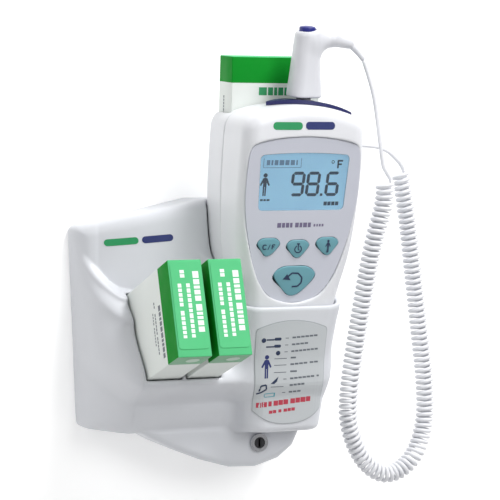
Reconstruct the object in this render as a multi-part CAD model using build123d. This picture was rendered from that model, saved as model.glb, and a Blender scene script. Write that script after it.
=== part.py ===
from build123d import *
import math
import os

# Wall-mounted digital thermometer, millimetres.  +X right, +Z up, the front faces -Y and the wall is y = 0.
# The origin is the centre of the four wall-screw holes on the back face of the wall plate.

# ---------------------------------------------------------------- driving dimensions
WALL = 2.5                    # moulded wall thickness
GAP = 0.8                     # clearance between pieces that slide past each other
SKIN = 0.3                    # clearance between neighbours that never rub

# wall mount
MOUNT_LEFT_TOP = (-82.5, 59.5)
MOUNT_LEFT_BOTTOM = (-77.5, -70.0)
MOUNT_PEAK = (-4.0, 77.0)
MOUNT_RIGHT_TOP = (77.0, 77.0)
MOUNT_RIGHT_SHOULDER = (73.5, 20.0)
MOUNT_RIGHT_BOTTOM = (63.5, -70.0)
EDGE_DEPTH = 13.0             # depth of the mount at its left edge
PANEL_DEPTH = 42.0            # depth of the panel beside the thermometer
PLATE_T = 3.0
WALL_HOLE_R = 2.5
WALL_HOLE_DX = 60.0
WALL_HOLE_DZ = 70.0

# carton bay
CARTON_W = 21.5
CARTON_H = 60.0
CARTON_L = 108.0
BAY_TILT = 19.0               # the cartons stand front-end-up by this angle
BAY_FRONT_TOP_Y = -109.5      # top edge of a carton's front end
BAY_FRONT_TOP_Z = 43.0
BAY_CARTON_X = (-43.0, -17.2)
BAY_LIP_X = -57.0
# depth of the scoop that carries the cartons, listed as (height, depth)
FRONT_STATIONS = (-90, -82.5, -74, -65, -57, -32, -4, 90)
FRONT_HEIGHTS = (-76, -64, -52, -43, -36, -24, -10, 2, 12, 20, 30, 42, 56, 70, 84)
SCOOP = [(-70, 52), (-52, 58), (-36, 76), (0, 52), (14, 40), (26, 22)]

# cradle pocket for the thermometer, listed as (z, outer half width, front depth)
CENTRE_X = 39.0
POCKET = [(-70, 26.0, 73.5), (-30, 30.5, 79.5), (15, 35.8, 89.3), (46, 42.8, 96.5)]
RIM_Z = 10.0                  # rim height at the front
CHIN_DEPTH = 51.0
LOCK_X = 28.9
LOCK_Z = -79.0

SHELL_SCREWS = [(-70.0, 46.0), (-66.0, -58.0), (64.0, 64.0), (50.0, -58.0)]
SHELL_SCREW_R = 1.6
SHELL_SCREW_L = 12.0
LABEL_X = 38.0
LABEL_T = 0.35
LABEL_GAP = 0.15              # the label's backing, left out of the model
LOCK_BARREL_R = 4.8
LOCK_PLUG_R = 3.6
CAM_L = 18.5
CAM_T = 2.2
CAM_SLOT = (23.0, 46.0)
CAM_SLOT_Y = (-39.2, -34.4)

# thermometer body, listed as (z, half width, back, front)
BODY = [(-66, 22.5, -32, -70), (-30, 25.8, -32, -75), (15, 32.0, -32, -85.1), (45, 38.4, -32, -91.9),
        (75, 40.8, -32, -98.6), (105, 41.0, -35, -105.4), (142, 39.5, -39, -108.5)]
BODY_CORNER = 10.0
TOP_LEFT_Z = 130.0
TOP_MID_Z = 138.0
TOP_RIGHT_Z = 129.0
TOP_SLOPE = 4.0               # the head's top falls towards the front by this angle
PARTING_Y = -58.0             # parting plane of the two housings at mid height
PARTING_TILT = 8.0

HOUSING_SCREWS = [(CENTRE_X - 30, 51.0), (CENTRE_X + 30, 51.0), (CENTRE_X - 15, -48.0), (CENTRE_X + 15, -48.0)]
DOOR_HALF = 23.0
DOOR_Z = (-14.0, 40.0)
TONGUE_HALF = 9.0             # narrow foot of the battery door, which takes its screw
TONGUE_Z = -24.0
CHAMBER_WALL = 0.8
CHAMBER_CORNER = 4.0          # bevel that opens the chamber's corners beside the rounded housing
SOCKET_Y = -55.5
SOCKET_Z = 111.0

# front face, measured up the slope from its own centre
FACE_SLOPE = 12.68            # the face leans forward by this angle
FACE_CENTRE_Z = 64.0
FACE_CENTRE_Y = -75 - math.tan(math.radians(FACE_SLOPE)) * (FACE_CENTRE_Z + 30)
RECESS = 1.6                  # the faceplate lies this far below the housing's face
FACEPLATE_T = 1.2
LCD_TOP_W = 59.8
LCD_BOTTOM_W = 57.4
LCD_H = 36.6
LCD_Z = 88.4
LCD_ARCH = 1.4                # rise of the window's arched top
SMALL_BUTTON = (15.0, 11.4)
SMALL_BUTTON_Z = 48.0
SMALL_BUTTON_DX = 19.8
BIG_BUTTON = (28.0, 19.0)
BIG_BUTTON_Z = 26.5
BUTTON_TRAVEL = 1.0

# probe and its well
PROBE_X = 46.6
PROBE_Y = -82.0
PROBE_Z = 137.0
PROBE_LEAN = 8.0
HANDLE_BOTTOM = (20.8, 19.4)
HANDLE_MIDDLE = (18.2, 17.4)
HANDLE_TOP = (15.0, 14.4)
HANDLE_FROM = 4.6
HANDLE_TO = 46.0
EJECT_R = 5.2
EJECT_STEM_R = 1.8
EJECT_SPRING = (37.8, 42.5)    # the return spring's two ends, along the probe's axis
EJECT_SPRING_R = 2.4
EJECT_WIRE_R = 0.25
EJECT_SPRING_PITCH = 1.05
SHAFT_R = 2.5
EJECTOR_X = 3.9               # the ejector's link runs beside the shaft
SHAFT_L = 100.0
WELL_R = 7.4
WELL_BORE_R = 6.0
WELL_L = 108.0
FLANGE_T = 2.4
FLANGE_ROLL = 6.5
ARM_ROOT = (53.0, -88.0, 178.0)
ARM_BEND = (64.0, -88.8, 178.6)
ARM_END = (74.5, -89.0, 174.8)
ARM_RADII = (6.0, 4.4, 3.0)
RELIEF_BEND = (79.0, -89.2, 171.6)

# rear probe-cover carton in the head
REAR_LEAN = 4.5
REAR_TOP = (35.0, -56.2, 167.5)
REAR_W = 60.0
REAR_T = 21.5
REAR_L = 108.0

# probe covers, packed in three rows in each carton
BOARD_T = 0.6                 # paperboard
COVER_R = 2.9
COVER_L = 102.0
COVER_ROWS = (8, 9, 8)
COVER_PITCH = 6.3

# batteries
CELL_R = 7.0
CELL_L = 49.0
CELL_PITCH = 15.2
CELL_Z = -11.0                # lower end
CELL_Y = -43.0

# curly cord
WIRE_D = 2.6
COIL_D = 11.0
LEAD_PROBE = [(84.4, -89.4, 164.9), (91.2, -89.3, 147.0), (94.6, -89.0, 127.5), (97.2, -88.8, 108.0),
              (100.2, -88.5, 90.5)]
COIL = [(100.2, -88.5, 90.5), (100.4, -88.2, 75.0), (93.8, -86.8, 53.0), (89.2, -84.3, 26.0),
        (84.0, -81.0, -11.0), (80.2, -78.5, -42.0), (80.0, -76.0, -66.0), (91.0, -73.5, -91.0),
        (110.0, -71.0, -104.0), (130.5, -69.0, -94.5), (140.4, -67.0, -70.5), (140.9, -65.5, -45.0),
        (137.5, -64.0, -12.0), (133.2, -62.5, 28.0), (129.6, -60.5, 66.0), (125.6, -59.0, 92.0)]
LEAD_DEVICE = [(125.6, -59.0, 92.0), (123.6, -58.4, 102.0), (115.5, -57.8, 108.6), (104.5, -57.0, 111.2),
               (93.0, -56.2, 111.0)]

os.makedirs("parts", exist_ok=True)


# ---------------------------------------------------------------- helpers
def save(name, solids):
    """Write one node from a solid or a list of separate solids."""
    pieces = [solid for item in (solids if isinstance(solids, list) else [solids]) for solid in item.solids()]
    shape = pieces[0] if len(pieces) == 1 else Compound(children=pieces)
    export_step(shape, f"parts/{name}.step")


def smooth(t):
    """Smooth step from 0 to 1."""
    t = max(0.0, min(1.0, t))
    return t * t * (3 - 2 * t)


def ramp(value, table):
    """Smoothly interpolate a table of (position, value) pairs in rising order."""
    for (low, start), (high, end) in zip(table, table[1:]):
        if value <= high:
            return start + (end - start) * smooth((value - low) / (high - low))
    return table[-1][1]


def tilted(origin, degrees):
    """Plane whose normal is +Z leaned towards the front by an angle, with +X kept."""
    lean = math.radians(degrees)
    return Plane(origin=origin, x_dir=(1, 0, 0), z_dir=(0, -math.sin(lean), math.cos(lean)))


def rod(start, direction, radius, length):
    """Round bar from a start point along a direction."""
    return Plane(origin=start, z_dir=direction) * Cylinder(radius, length,
                                                           align=(Align.CENTER, Align.CENTER, Align.MIN))


def outline_prism(points, near, far):
    """Prism from an outline in X and Z, between two depths in front of the wall."""
    face = make_face(Polyline([Vector(x, 0, z) for x, z in points], close=True))
    return Pos(0, -near, 0) * Solid.extrude(face.face(), Vector(0, near - far, 0))


def low_box(low, high):
    """Box from its lowest and highest corners."""
    size = [b - a for a, b in zip(low, high)]
    return Pos(*[(a + b) / 2 for a, b in zip(low, high)]) * Box(*size)


# ---------------------------------------------------------------- thermometer body envelope
def body_loft(offset, low_z, high_z):
    """The thermometer's outer form grown by an offset, between two heights."""
    rows = [(low_z, *BODY[0][1:])] + BODY[1:-1] + [(high_z, *BODY[-1][1:])]
    sections = []
    for z, half, back, front in rows:
        depth = back - front + 2 * offset
        corner = BODY_CORNER + offset
        sections.append(Pos(CENTRE_X, (back + front) / 2, z) * RectangleRounded(2 * (half + offset), depth, corner))
    return loft(sections)


def head_cap(drop):
    """Everything below the arched, forward-sloping top of the head, lowered by a distance."""
    arc = ThreePointArc((CENTRE_X - 43, 0, TOP_LEFT_Z - drop - 1), (CENTRE_X, 0, TOP_MID_Z - drop),
                        (CENTRE_X + 43, 0, TOP_RIGHT_Z - drop - 1))
    sides = Polyline((CENTRE_X + 43, 0, TOP_RIGHT_Z - drop - 1), (CENTRE_X + 43, 0, -90), (CENTRE_X - 43, 0, -90),
                     (CENTRE_X - 43, 0, TOP_LEFT_Z - drop - 1))
    face = make_face(arc + sides)
    run = Vector(0, -150, -150 * math.tan(math.radians(TOP_SLOPE)))
    return Pos(0, 0, 5) * Solid.extrude(face.face(), run)


def parting(front):
    """Half space in front of or behind the plane where the two housings meet."""
    half = Box(200, 200, 400, align=(Align.CENTER, Align.MAX if front else Align.MIN, Align.CENTER))
    return Pos(CENTRE_X, PARTING_Y, 40) * Rot(PARTING_TILT, 0, 0) * half


def face_plane(x=CENTRE_X, z=FACE_CENTRE_Z, sink=0.0):
    """Plane lying in the sloping front face, looking out of it, sunk below it by a distance."""
    slope = math.radians(FACE_SLOPE)
    y = FACE_CENTRE_Y - math.tan(slope) * (z - FACE_CENTRE_Z)
    normal = (0, -math.cos(slope), -math.sin(slope))
    inward = [-sink * n for n in normal]
    return Plane(origin=(x + inward[0], y + inward[1], z + inward[2]), x_dir=(1, 0, 0), z_dir=normal)


def on_face(sketch, thickness, x=CENTRE_X, z=FACE_CENTRE_Z, sink=0.0):
    """Extrude a sketch inwards from a plane parallel to the front face."""
    return extrude(face_plane(x, z, sink) * sketch, amount=-thickness)


# ---------------------------------------------------------------- outlines on the front face
def shield(grow=0.0):
    """Shield outline of the faceplate: arched top, sides that draw in to a round foot."""
    slope = math.cos(math.radians(FACE_SLOPE))
    half = [(37.6, 100), (38.0, 90), (37.0, 70), (33.5, 52), (28.7, 36), (23.6, 25), (15.6, 16.4)]
    right = [((w + grow), (z - FACE_CENTRE_Z) / slope) for w, z in half]
    foot = (0.0, (12.5 - FACE_CENTRE_Z) / slope - grow)
    left = [(-w, s) for w, s in reversed(right)]
    crown = (0.0, (116.0 - FACE_CENTRE_Z) / slope + grow)
    shoulder = (32.5 + grow, (111.8 - FACE_CENTRE_Z) / slope + grow)
    sides = Spline(*right, foot, *left)
    top = ThreePointArc((-shoulder[0], shoulder[1]), crown, shoulder)
    bend_right = Spline(shoulder, right[0], tangents=[top % 1, sides % 0])
    bend_left = Spline(left[-1], (-shoulder[0], shoulder[1]), tangents=[sides % 1, top % 0])
    return make_face([sides, bend_left, top, bend_right])


def pick(width, height, lean=0.0):
    """Button outline: a plectrum with a flat arched top and a round foot."""
    w, h = width / 2, height / 2
    points = [(-w, h * 0.42), (-w * 0.62, h * 0.93), (0, h), (w * 0.62, h * 0.93), (w, h * 0.42),
              (w * 0.62, -h * 0.42), (lean + w * 0.18, -h * 0.96), (lean - w * 0.18, -h * 0.96), (-w * 0.62, -h * 0.42)]
    return make_face(Spline(*points, periodic=True))


def lcd_outline(grow=0.0):
    """Display window: slightly wider at its arched top, with rounded corners."""
    top, foot, h = LCD_TOP_W / 2 + grow, LCD_BOTTOM_W / 2 + grow, LCD_H / 2 + grow
    sides = Polyline((-top, h - LCD_ARCH), (-foot, -h), (foot, -h), (top, h - LCD_ARCH))
    arch = ThreePointArc((top, h - LCD_ARCH), (0, h), (-top, h - LCD_ARCH))
    window = make_face(sides + arch)
    return fillet(window.vertices(), 3.0)


BUTTONS = {
    "button_unit": (CENTRE_X - SMALL_BUTTON_DX, SMALL_BUTTON_Z, SMALL_BUTTON, -0.6),
    "button_pulse": (CENTRE_X, SMALL_BUTTON_Z - 1.4, SMALL_BUTTON, 0.0),
    "button_mode": (CENTRE_X + SMALL_BUTTON_DX, SMALL_BUTTON_Z, SMALL_BUTTON, 0.6),
    "button_recall": (CENTRE_X - 0.6, BIG_BUTTON_Z, BIG_BUTTON, -0.8),
}


# ---------------------------------------------------------------- wall mount
def mount_depth(x, z):
    """Depth of the mount's moulded front in front of the wall."""
    across = (x - MOUNT_LEFT_TOP[0]) / (0 - MOUNT_LEFT_TOP[0])
    across = max(0.0, min(1.0, across))
    panel = EDGE_DEPTH + (PANEL_DEPTH - EDGE_DEPTH) * (1 - (1 - across) ** 2)
    flank = max(0.0, min(1.0, (x - MOUNT_LEFT_TOP[0]) / (BAY_LIP_X - MOUNT_LEFT_TOP[0])))
    scoop = ramp(z - 26 * (1 - flank) ** 1.5, SCOOP)
    return panel + max(0.0, scoop - panel) * (0.5 * flank + 0.5 * smooth(flank))


def front_solid(inset):
    """Everything behind the mount's moulded front, with the front set back by an inset."""
    sections = []
    for x in FRONT_STATIONS:
        front = Spline(*[(x, inset - mount_depth(x, z), z) for z in FRONT_HEIGHTS])
        rest = Polyline(front @ 1, (x, 5, FRONT_HEIGHTS[-1]), (x, 5, FRONT_HEIGHTS[0]), front @ 0)
        sections.append(make_face(front + rest))
    return loft(sections, ruled=True)


def mount_outline(inset):
    """The mount's outline in X and Z, drawn in by an inset."""
    return [(MOUNT_LEFT_TOP[0] + inset, MOUNT_LEFT_TOP[1] - inset),
            (MOUNT_PEAK[0], MOUNT_PEAK[1] - inset),
            (MOUNT_RIGHT_TOP[0] - inset, MOUNT_RIGHT_TOP[1] - inset),
            (MOUNT_RIGHT_SHOULDER[0] - inset, MOUNT_RIGHT_SHOULDER[1]),
            (MOUNT_RIGHT_BOTTOM[0] - inset, MOUNT_RIGHT_BOTTOM[1] + inset),
            (MOUNT_LEFT_BOTTOM[0] + inset, MOUNT_LEFT_BOTTOM[1] + inset)]


def pocket_outer(inset):
    """Outside of the cradle pocket, drawn in by an inset."""
    sections = []
    for z, half, front in POCKET:
        low = z + inset if z == POCKET[0][0] else z
        section = RectangleRounded(2 * (half - inset), front - inset, 13.0)
        sections.append(Pos(CENTRE_X, -(front - inset) / 2, low) * section)
    return loft(sections)


def rim_cut():
    """Tool above the pocket's rim, which sweeps up from the front to the panel."""
    edge = Spline((0, -104, RIM_Z - 1), (0, -86, RIM_Z + 1), (0, -62, RIM_Z + 11), (0, -46, RIM_Z + 27))
    rest = Polyline((0, -46, RIM_Z + 27), (0, -43, 60), (0, -104, 60), (0, -104, RIM_Z - 1))
    return Solid.extrude(make_face(edge + rest).face(), Vector(120, 0, 0)).moved(Pos(-15, 0, 0))


def chin_outer(inset):
    """Rounded chin below the mount that houses the key lock."""
    curve = Spline((-56 + inset, 0, -66), (-30, 0, -80.5 + inset), (10, 0, -94.5 + inset), (40, 0, -91.5 + inset),
                   (57 - inset, 0, -80), (58 - inset, 0, -66))
    face = make_face(curve + Line((58 - inset, 0, -66), (-56 + inset, 0, -66)))
    return Solid.extrude(face.face(), Vector(0, -(CHIN_DEPTH - inset), 0))


def thermometer_cavity(grow):
    """Space swept by the thermometer as it lifts straight out of the pocket."""
    space = body_loft(grow, BODY[0][0] - grow, 150)
    back = BODY[0][2] + grow
    space = space + low_box((CENTRE_X - 12, -60, BODY[0][0] - grow), (CENTRE_X + 12, back, 90))
    return space + low_box((CENTRE_X - 28, -60, 40), (CENTRE_X + 28, back, 90))


def carton_plane(x):
    """Plane on a bay carton's outer end: +Z out of the bay, +Y up the end."""
    tilt = math.radians(BAY_TILT)
    outward = Vector(0, -math.cos(tilt), math.sin(tilt))
    up = Vector(0, math.sin(tilt), math.cos(tilt))
    centre = Vector(x, BAY_FRONT_TOP_Y, BAY_FRONT_TOP_Z) - up * (CARTON_H / 2)
    return Plane(origin=centre, x_dir=(1, 0, 0), z_dir=outward)


def bay_space(x, grow, reach):
    """Space of one carton in the bay, grown by a clearance and run outwards by a reach."""
    box = Box(CARTON_W + 2 * grow, CARTON_H + 2 * grow, CARTON_L + grow + reach,
              align=(Align.CENTER, Align.CENTER, Align.MIN))
    return carton_plane(x) * Pos(0, 0, -CARTON_L - grow) * box


def make_mount():
    outer = outline_prism(mount_outline(0), 0, 110) & front_solid(0)
    outer = outer + (pocket_outer(0) - rim_cut()) + chin_outer(0)
    hollow = outline_prism(mount_outline(WALL), -1, 110) & front_solid(WALL)
    hollow = hollow + (pocket_outer(WALL) & low_box((-60, -120, -80), (120, 1, 8))) + chin_outer(WALL)
    liners = thermometer_cavity(GAP + WALL)
    for x in BAY_CARTON_X:
        liners = liners + bay_space(x, GAP + WALL / 2, 0)
    for x, z in SHELL_SCREWS:
        liners = liners + (rod((x, -PLATE_T - SKIN, z), (0, -1, 0), 3.6, 60) & outer)
    shell = outer - (hollow - liners)
    shell = shell - thermometer_cavity(GAP)
    for x in BAY_CARTON_X:
        shell = shell - bay_space(x, GAP, 70)
    for x, z in SHELL_SCREWS:
        shell = shell - rod((x, 0, z), (0, -1, 0), SHELL_SCREW_R, SHELL_SCREW_L)
    shell = shell - rod((LOCK_X, -CHIN_DEPTH - 5, LOCK_Z), (0, 1, 0), LOCK_BARREL_R + 0.2, 17)
    shell = shell - low_box((CAM_SLOT[0], CAM_SLOT_Y[0], -75), (CAM_SLOT[1], CAM_SLOT_Y[1], -60))
    save("mount_shell", shell)

    plate = outline_prism(mount_outline(WALL + SKIN), 0, PLATE_T)
    for x in (-WALL_HOLE_DX / 2, WALL_HOLE_DX / 2):
        for z in (-WALL_HOLE_DZ / 2, WALL_HOLE_DZ / 2):
            plate = plate - rod((x, 1, z), (0, -1, 0), WALL_HOLE_R, PLATE_T + 2)
    screws = []
    for x, z in SHELL_SCREWS:
        plate = plate - rod((x, 1, z), (0, -1, 0), SHELL_SCREW_R + 0.2, PLATE_T + 2)
        plate = plate - rod((x, 1, z), (0, -1, 0), 3.3, 1 + 1.8)
        screws.append(rod((x, -0.1, z), (0, -1, 0), 3.0, 1.6) + rod((x, -1.0, z), (0, -1, 0), SHELL_SCREW_R,
                                                                   SHELL_SCREW_L - 1.0))
    save("wall_plate", plate)
    save("shell_screws", screws)

    label = outline_prism(label_outline(), 60, 110) & (
        pocket_outer(-LABEL_T - LABEL_GAP) - pocket_outer(-LABEL_GAP))
    save("cradle_label", label)


def label_outline():
    """Outline of the symbol label on the front of the cradle, in X and Z."""
    half_top, half_foot, high, low = 23.8, 24.6, -2.5, -56.0
    arch, sag = 4.7, 9.0
    steps = 8
    top = [(LABEL_X + half_top * (1 - 2 * i / steps), high + arch * (1 - (1 - 2 * i / steps) ** 2))
           for i in range(steps + 1)]
    foot = [(LABEL_X - half_foot * (1 - 2 * i / steps), low - sag * (1 - (1 - 2 * i / steps) ** 2))
            for i in range(steps + 1)]
    return top + foot


def make_lock():
    front = -CHIN_DEPTH - 0.1
    body = rod((LOCK_X, front - 2.6, LOCK_Z), (0, 1, 0), 5.8, 2.6)
    body = body + rod((LOCK_X, front - 1, LOCK_Z), (0, 1, 0), LOCK_BARREL_R, 12.5)
    body = body - rod((LOCK_X, front - 5, LOCK_Z), (0, 1, 0), LOCK_PLUG_R + 0.05, 20)
    save("lock_body", body)

    nut = Plane(origin=(LOCK_X, -CHIN_DEPTH + WALL + 0.1, LOCK_Z), z_dir=(0, 1, 0)) * extrude(
        RegularPolygon(7.6, 6) - Circle(LOCK_BARREL_R), amount=3.0)
    save("lock_nut", nut)

    plug = rod((LOCK_X, front - 2.2, LOCK_Z), (0, 1, 0), LOCK_PLUG_R, CAM_SLOT_Y[0] + 1.2 - (front - 2.2))
    plug = plug - Pos(LOCK_X, front - 2.2, LOCK_Z) * Box(1.5, 6, 5.4)
    plug = plug - rod((LOCK_X, CAM_SLOT_Y[0] - 4, LOCK_Z), (0, 1, 0), 1.2, 10)
    save("lock_plug", plug)

    cam_y = CAM_SLOT_Y[0] + 1.2
    cam = Plane(origin=(LOCK_X, cam_y, LOCK_Z), x_dir=(1, 0, 0), z_dir=(0, 1, 0)) * extrude(
        Circle(5.5) + Pos(CAM_L / 2, 0) * Rectangle(CAM_L, 7.0) - Circle(1.2), amount=CAM_T)
    save("lock_cam", cam)
    screw = rod((LOCK_X, cam_y - 4, LOCK_Z), (0, 1, 0), 1.2, 4 + CAM_T) + rod(
        (LOCK_X, cam_y + CAM_T, LOCK_Z), (0, 1, 0), 2.6, 1.2)
    save("lock_cam_screw", screw)


# ---------------------------------------------------------------- cartons of probe covers
def carton(plane, width, height, length):
    """Closed paperboard carton hanging down from its top plane, and the covers standing in it."""
    down = (Align.CENTER, Align.CENTER, Align.MAX)
    shell = Box(width, height, length, align=down)
    shell = shell - Pos(0, 0, -BOARD_T) * Box(width - 2 * BOARD_T, height - 2 * BOARD_T, length - 2 * BOARD_T,
                                             align=down)
    covers = []
    for row, count in enumerate(COVER_ROWS):
        for i in range(count):
            place = Pos((row - 1) * COVER_PITCH, (i - (count - 1) / 2) * COVER_PITCH, -2)
            cover = Cylinder(COVER_R, COVER_L, align=down) - Pos(0, 0, 1) * Cylinder(COVER_R - 0.4, COVER_L, align=down)
            covers.append(plane * place * cover)
    return plane * shell, covers


def make_cartons():
    for name, x in zip(("bay_carton_left", "bay_carton_right"), BAY_CARTON_X):
        box, covers = carton(carton_plane(x), CARTON_W, CARTON_H, CARTON_L)
        save(name, box)
        save(name + "_covers", covers)
    plane = tilted(REAR_TOP, REAR_LEAN) * Rot(0, 0, 90)
    box, covers = carton(plane, REAR_T, REAR_W, REAR_L)
    save("rear_carton", box)
    save("rear_carton_covers", covers)


# ---------------------------------------------------------------- thermometer
def chamber_space(grow, from_top, bevel=0.0):
    """Space of the rear carton in the head, grown by a clearance, from a distance below its top."""
    box = Box(REAR_W + 2 * grow, REAR_T + 2 * grow, REAR_L + grow - from_top,
              align=(Align.CENTER, Align.CENTER, Align.MAX))
    if bevel:
        box = chamfer(box.edges().filter_by(Axis.Z), bevel)
    return tilted(REAR_TOP, REAR_LEAN) * Pos(0, 0, -from_top) * box


def well_space(radius, low, high):
    """Round space about the probe's axis."""
    return tilted((PROBE_X, PROBE_Y, PROBE_Z), PROBE_LEAN) * Pos(0, 0, low) * Cylinder(
        radius, high - low, align=(Align.CENTER, Align.CENTER, Align.MIN))


def make_housings():
    outer = body_loft(0, BODY[0][0], BODY[-1][0]) & head_cap(0)
    inner = body_loft(-WALL, BODY[0][0] + WALL, BODY[-1][0]) & head_cap(WALL)
    recess = chamber_space(GAP + CHAMBER_WALL + SKIN, 0, CHAMBER_CORNER) & head_cap(WALL + SKIN / 2)
    shell = outer - inner - recess
    shell = shell - chamber_space(GAP, -20) - well_space(WELL_R + 0.2, -20, 30)

    rear = shell & parting(False)
    front = shell & parting(True)
    for x, z in HOUSING_SCREWS:
        post = rod((x, -33, z), (0, -1, 0), 3.4, 62) & inner
        rear = rear + (post & parting(False))
        front = front + (post & parting(True))
    for x, z in HOUSING_SCREWS:
        rear = rear - rod((x, -20, z), (0, -1, 0), 1.8, 60) - rod((x, -20, z), (0, -1, 0), 3.2, 16.4)
        front = front - rod((x, -20, z), (0, -1, 0), 1.5, 46)
    rear = rear - door_space(0, -40, -20)
    rear = rear - low_box((CAM_SLOT[0], CAM_SLOT_Y[0] - 0.3, -70), (CAM_SLOT[1], CAM_SLOT_Y[1] + 0.3, -60))
    rear = rear - low_box((70, SOCKET_Y - 4.6, SOCKET_Z - 5.6), (90, SOCKET_Y + 4.6, SOCKET_Z + 5.6))
    save("rear_housing", rear)

    seat = RECESS + FACEPLATE_T
    front = front - on_face(shield(), seat + 6, sink=-6) - on_face(shield(-3), 16, sink=-6)
    front = front + on_face(shield(1.0) - shield(-3), 1.4, sink=seat)
    save("front_housing", front)

    screws = [rod((x, -34.0, z), (0, -1, 0), 2.9, 2.2) + rod((x, -36, z), (0, -1, 0), 1.5, 29)
              for x, z in HOUSING_SCREWS]
    save("housing_screws", screws)

    sleeve = chamber_space(GAP + CHAMBER_WALL, 0, CHAMBER_CORNER)
    save("carton_chamber", (sleeve - chamber_space(GAP, -20)) & head_cap(WALL + SKIN))

    door = door_space(SKIN, -34.6, -30) & body_loft(-0.1, BODY[0][0], BODY[-1][0])
    save("battery_door", door - rod((CENTRE_X, -30, TONGUE_Z + 5), (0, -1, 0), 1.7, 10))
    save("battery_door_screw", rod((CENTRE_X, -32.2, TONGUE_Z + 5), (0, -1, 0), 1.6, 7.0))


def door_space(gap, near, far):
    """Outline of the battery door, drawn in by a gap, between two depths."""
    wide = low_box((CENTRE_X - DOOR_HALF + gap, near, DOOR_Z[0] + gap), (CENTRE_X + DOOR_HALF - gap, far, DOOR_Z[1] - gap))
    return wide + low_box((CENTRE_X - TONGUE_HALF + gap, near, TONGUE_Z + gap), (CENTRE_X + TONGUE_HALF - gap, far, 0))


def make_display_and_keys():
    plate = on_face(shield(-SKIN), FACEPLATE_T, sink=RECESS)
    plate = plate - on_face(lcd_outline(), 8, z=LCD_Z, sink=-2)
    for x, z, size, lean in BUTTONS.values():
        plate = plate - on_face(pick(size[0] + 0.6, size[1] + 0.6, lean), 8, x=x, z=z, sink=-2)
    save("faceplate", plate)

    for name, (x, z, size, lean) in BUTTONS.items():
        cap = on_face(pick(size[0], size[1], lean), FACEPLATE_T + 1.0, x=x, z=z, sink=RECESS - 0.8)
        save(name, cap)

    behind = RECESS + FACEPLATE_T
    save("lcd_lens", on_face(lcd_outline(-0.15), 1.1, z=LCD_Z, sink=RECESS + 0.1))
    glass = RectangleRounded(LCD_TOP_W + 4, LCD_H + 2, 4)
    save("lcd_panel", on_face(glass, 1.8, z=LCD_Z, sink=behind + 0.1))
    save("lcd_backlight", on_face(glass, 2.4, z=LCD_Z, sink=behind + 2.0))
    mat = Pos(0, 0) * RectangleRounded(52, 36, 6)
    save("keypad_mat", on_face(mat, 1.6, z=40, sink=behind + 0.2 + BUTTON_TRAVEL + 0.3))
    board_sink = behind + 4.6
    board = Rectangle(62, 50, align=(Align.CENTER, Align.MIN)) + Rectangle(44, 44, align=(Align.CENTER, Align.MAX))
    save("main_board", on_face(board, 1.6, z=62, sink=board_sink))
    chips = [on_face(Rectangle(w, h), 1.5, x=CENTRE_X + dx, z=z, sink=board_sink + 1.7)
             for dx, z, w, h in ((-16, 92, 14, 14), (10, 96, 10, 7), (-14, 66, 8, 12), (12, 58, 12, 9))]
    save("board_chips", chips)
    save("beeper", on_face(Circle(6.5), 4.0, x=CENTRE_X - 12, z=34, sink=board_sink + 1.7))


def make_power():
    tray = low_box((CENTRE_X - 24, -52, -14.5), (CENTRE_X + 24, -34.8, 42))
    tray = tray - low_box((CENTRE_X - 22.9, -50.8, -13.3), (CENTRE_X + 22.9, -30, 40.8))
    tray = tray + low_box((CENTRE_X - 4, -42, -23), (CENTRE_X + 4, -34.8, -14))
    tray = tray - rod((CENTRE_X, -30, TONGUE_Z + 5), (0, -1, 0), 1.65, 11)
    save("battery_tray", tray & body_loft(-WALL - SKIN, BODY[0][0] + WALL, BODY[-1][0]))
    cells = []
    contacts = []
    for i in (-1, 0, 1):
        x = CENTRE_X + i * CELL_PITCH
        cell = rod((x, CELL_Y, CELL_Z), (0, 0, 1), CELL_R, CELL_L)
        cells.append(cell + rod((x, CELL_Y, CELL_Z + CELL_L), (0, 0, 1), 2.6, 1.2))
        contacts.append(low_box((x - 5, CELL_Y - 5, -13.2), (x + 5, CELL_Y + 5, -12.8))
                        + rod((x, CELL_Y, -12.9), (0, 0, 1), 3.2, 1.8))
        contacts.append(low_box((x - 5, CELL_Y - 5, 39.3), (x + 5, CELL_Y + 5, 39.8)))
    save("batteries", cells)
    save("battery_contacts", contacts)


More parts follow.
